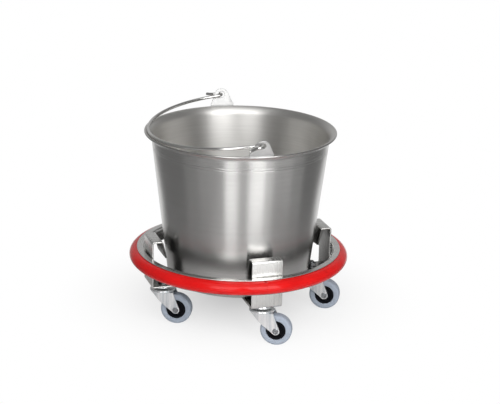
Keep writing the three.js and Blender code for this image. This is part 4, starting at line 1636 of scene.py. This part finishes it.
    def leg_section(self, z: Array) -> Array:
        """One leg's outer face at some heights, from its trailing edge to its leading edge.

        The half width grows a little above the axle. Ahead of a leaning crease, which starts at
        the web's end, it draws in along a straight flank, and one column follows that crease.

        Args:
            z: Heights.

        Returns:
            Heights by points along the leg by two: x and half width.
        """
        half = self.leg_y + self.leg_flare * np.clip(z - self.axle_z, 0, None)
        lead, trail = (edge[:, None] for edge in self.edges(z))
        crease = (self.web_end[0] - self.crease_lean * (z - self.web_end[1]))[:, None]
        bent = lead < crease - Workshop.MERGE
        along, place = np.linspace(0, 1, self.leg_points), [0.0, self.crease_share, 1.0]
        first, second = np.interp(along, place, [0, 1, 1]), np.interp(along, place, [0, 0, 1])
        share = 0.5 - 0.5 * np.cos(math.pi * along)
        x = np.where(bent, trail + (crease - trail) * first + (lead - crease) * second,
                     trail + (lead - trail) * share)
        y = half[:, None] - self.flank_slope * np.where(bent, np.clip(crease - x, 0, None), 0)
        return np.stack([x, y], -1)

    def fork_patches(self) -> list[Patch]:
        """The fork's outer face: head, neck and web in one grid, and the lower part of both legs.

        Returns:
            The three patches.
        """
        upper, count = self.fork_rows(), self.leg_points
        swing = np.linspace(0, math.pi / 2, self.eye_rows)
        z = np.concatenate([np.linspace(self.web_end[1], self.axle_z, self.leg_rows),
                            self.axle_z - self.eye_r * np.sin(swing[1:])])
        leg = self.leg_section(z)
        leg[0] = upper[-1, -1:-count - 1:-1, :2]
        left = np.concatenate([leg, np.broadcast_to(z[:, None, None], (*leg.shape[:2], 1))], -1)
        return [Patch(upper), Patch(left * (1, -1, 1)), Patch(left[:, ::-1])]

    def tread_profile(self) -> Array:
        """The tread's outline: flat sides, round shoulders and a slight crown.

        Returns:
            Radius and distance from the wheel's middle of each point.
        """
        half = self.wheel_width / 2
        shoulder = arc((self.wheel_r - self.shoulder_r, half - self.shoulder_r), self.shoulder_r,
                       math.pi / 2, 0, self.shoulder_points) - (self.shoulder_sink, 0)
        side = np.array(self.TREAD_SIDE) + (self.hub_r + self.seat_gap, half)
        upper = np.concatenate([side, shoulder, np.array(self.TREAD_CROWN) + (self.wheel_r, 0)])
        return np.concatenate([upper, (upper * (1, -1))[::-1]])

    def hub_profile(self) -> Array:
        """The hub's outline: boss, dished web with a raised ring, and rim.

        Returns:
            Radius and distance from the wheel's middle of each point.
        """
        half, web, rim = self.wheel_width / 2, self.hub_web / 2, self.wheel_width / 2 - self.hub_recess
        bore, inside = self.bush_r + self.run_gap, self.hub_r - self.hub_rim
        corners = [(bore, self.hub_middle), (bore, half), (self.hub_boss_r, half),
                   (self.hub_boss_r + self.hub_boss_slope, web),
                   *((radius, web + rise) for radius, rise in self.HUB_RING),
                   (inside - self.hub_rim_slope, web), (inside, rim), (self.hub_r, rim),
                   (self.hub_r, self.hub_middle)]
        upper = rounded(corners, self.hub_edge_r, self.edge_steps)
        return np.concatenate([upper, (upper * (1, -1))[::-1]])

    def bush_profile(self) -> Array:
        """The spacer tube's outline with broken edges.

        Returns:
            Radius and distance from the wheel's middle of each point.
        """
        bore, half = self.axle_r + self.run_gap, self.leg_y - self.fork_sheet - self.seat_gap
        corners = [(bore, -half), (self.bush_r, -half), (self.bush_r, half), (bore, half), (bore, -half)]
        return rounded(corners, self.bush_edge_r, self.edge_steps)

    def pins(self) -> tuple[Bolt, Bolt]:
        """The kingpin and the axle pin, each about its own Z.

        Returns:
            The two bolts.
        """
        seat = self.leg_y + self.seat_gap
        kingpin = Bolt(HeadFace.PLAIN, self.kingpin_head_r, self.kingpin_head, self.kingpin_r,
                       self.fork_top - self.fork_sheet - self.seat_gap, self.kingpin_end, self.washer_z,
                       self.thread_pitch)
        axle = Bolt(HeadFace.DISHED, self.axle_head_r, self.axle_head, self.axle_r, -seat,
                    seat + self.axle_nut_height + self.axle_r / 2, seat - self.axle_thread, self.axle_pitch)
        return kingpin, axle

    def soften(self, fork: bpy.types.Object) -> None:
        """Gives the fork's face its sheet thickness inward and breaks its edges.

        Args:
            fork: The fork's piece.
        """
        wall = fork.modifiers.new("sheet", "SOLIDIFY")
        wall.thickness, wall.offset, wall.use_even_offset = self.fork_sheet * METRE, -1.0, True
        soft = fork.modifiers.new("edges", "BEVEL")
        soft.width, soft.segments = self.fork_edge * METRE, 2
        soft.limit_method, soft.angle_limit = "ANGLE", self.fork_edge_angle

    def build(self, shop: Workshop) -> None:
        """Makes all of the caster's pieces on their three bodies.

        Args:
            shop: The workshop that makes the pieces.
        """
        word = self.corner.word
        cart, yoke, wheel = "cart", f"caster_{word}", f"wheel_{word}"
        kingpin, axle = (pin.patch() for pin in self.pins())
        nut = Nut(self.nut_across, self.nut_height, self.kingpin_r + self.run_gap).patch()
        axle_nut = Nut(self.axle_nut, self.axle_nut_height, self.axle_r + self.run_gap).patch()
        race, bush, hub, tread = (revolve(profile, count) for profile, count in (
            (self.cap_profile(), self.cap_around), (self.bush_profile(), self.bush_around),
            (self.hub_profile(), self.hub_around), (self.tread_profile(), self.wheel_around)))
        axle_seat = self.leg_y + self.seat_gap
        pieces = (
            ("kingpin", "swivel_bolt", cart, DullZinc, self.stood(kingpin)),
            ("lock_washer", "spring_washer", cart, DullZinc, self.stood(self.washer_patch())),
            ("hex_nut", "swivel_nut", cart, DullZinc, self.stood(nut.moved(0, 0, self.nut_z))),
            ("upper_race", "swivel_cap", cart, ZincPlate, self.stood(race)),
            ("ball_cage", "ball_ring", cart, PolishedSteel, self.stood(*self.ball_patches())),
            ("pressed_fork", "fork", yoke, ZincPlate, self.stood(*self.fork_patches())),
            ("axle_pin", "axle_bolt", yoke, DullZinc, self.on_axle(axle)),
            ("axle_hex", "axle_nut", yoke, DullZinc, self.on_axle(axle_nut.moved(0, 0, axle_seat))),
            ("bush_tube", "wheel_bush", yoke, ZincPlate, self.on_axle(bush)),
            ("hub_core", "hub", wheel, BlackPlastic, self.on_axle(hub)),
            ("rubber_tread", "tread", wheel, GreyRubber, self.on_axle(tread)),
        )
        made = {name: shop.fit(f"{name}_{word}", patches, body, finish, [f"{node}_{word}"])
                for name, node, body, finish, patches in pieces}
        self.soften(made["pressed_fork"])


class LampShape(Enum):
    """The two outlines of the studio's lamps."""

    BOX = "RECTANGLE"
    OVAL = "ELLIPSE"


@dataclass(frozen=True)
class Lamp:
    """A soft lamp that faces the bucket.

    Attributes:
        name: The lamp's name.
        azimuth: Its direction in degrees, counted as the camera's is.
        elevation: Its height in degrees above the horizon.
        size: Its width and height in metres.
        power: Its power in watts.
        distance: Its distance from the bucket's middle, in metres.
        shape: A box, or an oval that is weaker towards its ends.
    """

    name: str
    azimuth: float
    elevation: float
    size: Pair
    power: float
    distance: float = 2.2
    shape: LampShape = LampShape.BOX

    def hang(self, middle: Sequence[float]) -> None:
        """Puts the lamp in its place, where the camera doesn't see it.

        Args:
            middle: The point that it faces, in metres.
        """
        back = Vector(towards(math.radians(self.azimuth), math.radians(self.elevation)))
        data = bpy.data.lights.new(self.name, "AREA")
        data.shape, data.energy = self.shape.value, self.power
        data.size, data.size_y = self.size
        lamp = bpy.data.objects.new(self.name, data)
        lamp.location = Vector(middle) + back * self.distance
        lamp.rotation_mode = "QUATERNION"
        lamp.rotation_quaternion = back.to_track_quat("Z", "Y")
        lamp.visible_camera = False
        bpy.context.scene.collection.objects.link(lamp)


@dataclass
class Studio:
    """The camera, the pale floor, the soft lamps and the world.

    Camera lengths are in millimetres and pixels, the floor's and the room's in metres. Each
    pair of limits is where a change starts and where it ends.
    """

    LAMPS: ClassVar[tuple[Lamp, ...]] = (
        Lamp("left_box", -31.0, 26.0, (1.0, 1.9), 17.0),
        Lamp("left_low", -28.5, -26.0, (0.6, 1.9), 4.5),
        Lamp("right_box", 9.5, 26.0, (1.2, 1.9), 26.0),
        Lamp("right_low", 6.0, -38.0, (0.75, 1.1), 5.4),
        Lamp("middle_low", -12.0, -28.0, (0.5, 1.8), 1.1),
        Lamp("left_wide", -50.0, -26.0, (1.8, 1.9), 1.15, shape=LampShape.OVAL),
        Lamp("left_far", -56.0, -26.0, (3.4, 1.9), 1.9, shape=LampShape.OVAL),
        Lamp("right_wide", 38.0, -26.0, (1.35, 1.9), 1.25, shape=LampShape.OVAL),
        Lamp("right_far", 46.0, -26.0, (2.4, 1.9), 2.1, shape=LampShape.OVAL),
        Lamp("low_card", 12.5, -14.0, (0.84, 0.62), 1.6, distance=1.8),
        Lamp("top_box", -10.0, 68.0, (2.2, 2.2), 12.5, distance=2.4),
    )
    azimuth: float = math.radians(-17.65)
    elevation: float = math.radians(18.23)
    distance: float = 2700.0
    target_z: float = 180.0
    focal: float = 1684.02
    image: tuple[int, int] = (500, 404)
    target_pixel: Pair = (239.2, 208.61)
    roll: float = 0.0194
    sensor: float = 36.0
    clip: Pair = (0.05, 100.0)
    floor_half: float = 12.0
    floor_white: Colour = (0.8, 0.8, 0.8)
    floor_grey: Colour = (0.42, 0.42, 0.42)
    floor_roughness: float = 0.9
    floor_shine: float = 0.1
    grey_from: Pair = (0.2, 0.32)
    fade_seen: Pair = (-0.25, 0.32)
    fade_mirrored: Pair = (0.15, 0.45)
    fade_back: float = 0.08
    front: Pair = (0.358, 0.39)
    sides: Pair = (0.412, 0.44)
    sides_middle: float = 0.018
    widening: float = 0.15
    world_turn: Pair = (0.6, 0.95)
    world_levels: Pair = (0.22, 0.5)

    def camera(self) -> None:
        """Stands the camera where the photograph's was.

        It looks from the azimuth and elevation at the target, is rolled about its axis, and is
        turned by the small angle that puts the target on its pixel.
        """
        back = towards(self.azimuth, self.elevation)
        right = np.array([math.cos(self.azimuth), math.sin(self.azimuth), 0.0])
        up = np.cross(right, -back)
        c, s = math.cos(self.roll), math.sin(self.roll)
        right, up = c * right + s * up, c * up - s * right
        off = ((self.image[0] / 2 - self.target_pixel[0]) / self.focal,
               (self.target_pixel[1] - self.image[1] / 2) / self.focal)
        ahead = -back + off[0] * right + off[1] * up
        ahead /= np.linalg.norm(ahead)
        right = right - (right @ ahead) * ahead
        right /= np.linalg.norm(right)
        place = np.array([0, 0, self.target_z]) + self.distance * back
        matrix = np.eye(4)
        matrix[:3] = np.stack([right, np.cross(right, ahead), -ahead, place * METRE], 1)
        data = bpy.data.cameras.new("camera")
        data.sensor_width = self.sensor
        data.lens = self.focal * self.sensor / self.image[0]
        data.clip_start, data.clip_end = self.clip
        camera = bpy.data.objects.new("camera", data)
        camera.matrix_world = Matrix(matrix.tolist())
        bpy.context.scene.collection.objects.link(camera)
        bpy.context.scene.camera = camera

    def floor(self) -> None:
        """A wide plain floor, pale and matt."""
        data = bpy.data.meshes.new("floor")
        corners = self.floor_half * np.array([(-1, -1, 0), (1, -1, 0), (1, 1, 0), (-1, 1, 0)])
        data.from_pydata(corners.tolist(), [], [(0, 1, 2, 3)])
        data.materials.append(self.floor_paint())
        floor = bpy.data.objects.new("floor", data)
        bpy.context.scene.collection.objects.link(floor)

    def floor_paint(self) -> bpy.types.Material:
        """Matt white that fades to even white away from the bucket.

        The camera sees it everywhere. For the light it ends softly in front and at the sides, as
        a sheet on a table does, so that the low lamps reach the bucket.

        Returns:
            The floor's material.
        """
        paint = Shader("floor_paint", Roughness=self.floor_roughness, Specular_IOR_Level=self.floor_shine)
        place = paint.node("TexCoord").outputs["Object"]
        rays = paint.node("LightPath").outputs
        c, s = math.cos(self.azimuth), math.sin(self.azimuth)
        nearer = paint.measure("DOT_PRODUCT", place, (s, -c, 0.0))
        away = paint.measure("DISTANCE", place, (-self.fade_back * s, self.fade_back * c, 0.0))
        aside = paint.math("SUBTRACT", paint.measure("DOT_PRODUCT", place, (c, s, 0.0)), self.sides_middle)
        aside = paint.math("ADD", paint.math("ABSOLUTE", aside, 0.0),
                           paint.math("MULTIPLY", nearer, self.widening))
        greyer = paint.beyond(aside, self.grey_from)
        paint.link(paint.blend(greyer, self.floor_white, self.floor_grey), "Base Color")
        mirrored = paint.math("MAXIMUM", rays["Is Glossy Ray"], rays["Is Transmission Ray"])
        behind = paint.beyond(paint.math("MULTIPLY", nearer, -1.0), self.fade_mirrored)
        seen = paint.math("MULTIPLY", paint.beyond(away, self.fade_seen), rays["Is Camera Ray"])
        white = paint.math("ADD", seen, paint.math("MULTIPLY", behind, mirrored))
        even = paint.node("Emission", Color=(1.0, 1.0, 1.0, 1.0), Strength=1.0).outputs[0]
        sheet = paint.mixed(white, paint.surface.outputs[0], even)
        gone = paint.math("MAXIMUM", paint.beyond(nearer, self.front), paint.beyond(aside, self.sides))
        gone = paint.math("MULTIPLY", gone, paint.math("SUBTRACT", 1.0, rays["Is Camera Ray"]))
        ends = paint.mixed(gone, sheet, paint.node("BsdfTransparent").outputs[0])
        paint.put(ends, paint.tree.nodes["Material Output"].inputs["Surface"])
        return paint.material

    def world(self) -> None:
        """An even grey room, dim on the camera's side and paler behind, that the camera sees as white."""
        world = bpy.data.worlds.new("studio")
        world.use_nodes = True
        room = Nodes(world.node_tree)
        heading = (-math.sin(self.azimuth), math.cos(self.azimuth), 0.0)
        behind = room.measure("DOT_PRODUCT", room.node("TexCoord").outputs["Generated"], heading)
        level = room.beyond(behind, self.world_turn, self.world_levels)
        back = room.tree.nodes["Background"].inputs
        back["Color"].default_value = (1.0, 1.0, 1.0, 1.0)
        seen = room.math("MAXIMUM", level, room.node("LightPath").outputs["Is Camera Ray"])
        room.put(seen, back["Strength"])
        bpy.context.scene.world = world

    def build(self) -> None:
        """Sets the camera, floor, lamps and world."""
        self.camera()
        self.floor()
        for lamp in self.LAMPS:
            lamp.hang((0, 0, self.target_z * METRE))
        self.world()
        bpy.context.scene.view_settings.view_transform = "Standard"


def main() -> None:
    """Loads the frame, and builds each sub-assembly and the studio."""
    logging.basicConfig(level=logging.INFO, format="%(name)s: %(message)s")
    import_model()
    shop = Workshop([BrushedSteel(), SatinSteel(), PolishedSteel(), StripSteel(), DrawnWire(),
                     ZincPlate(), DullZinc(), RedVinyl(), GreyRubber(), BlackPlastic()])
    Studio().build()
    Bucket().build(shop)
    RingCart().build(shop)
    for corner in Corner:
        Caster(corner).build(shop)


if __name__ == "__main__":
    main()
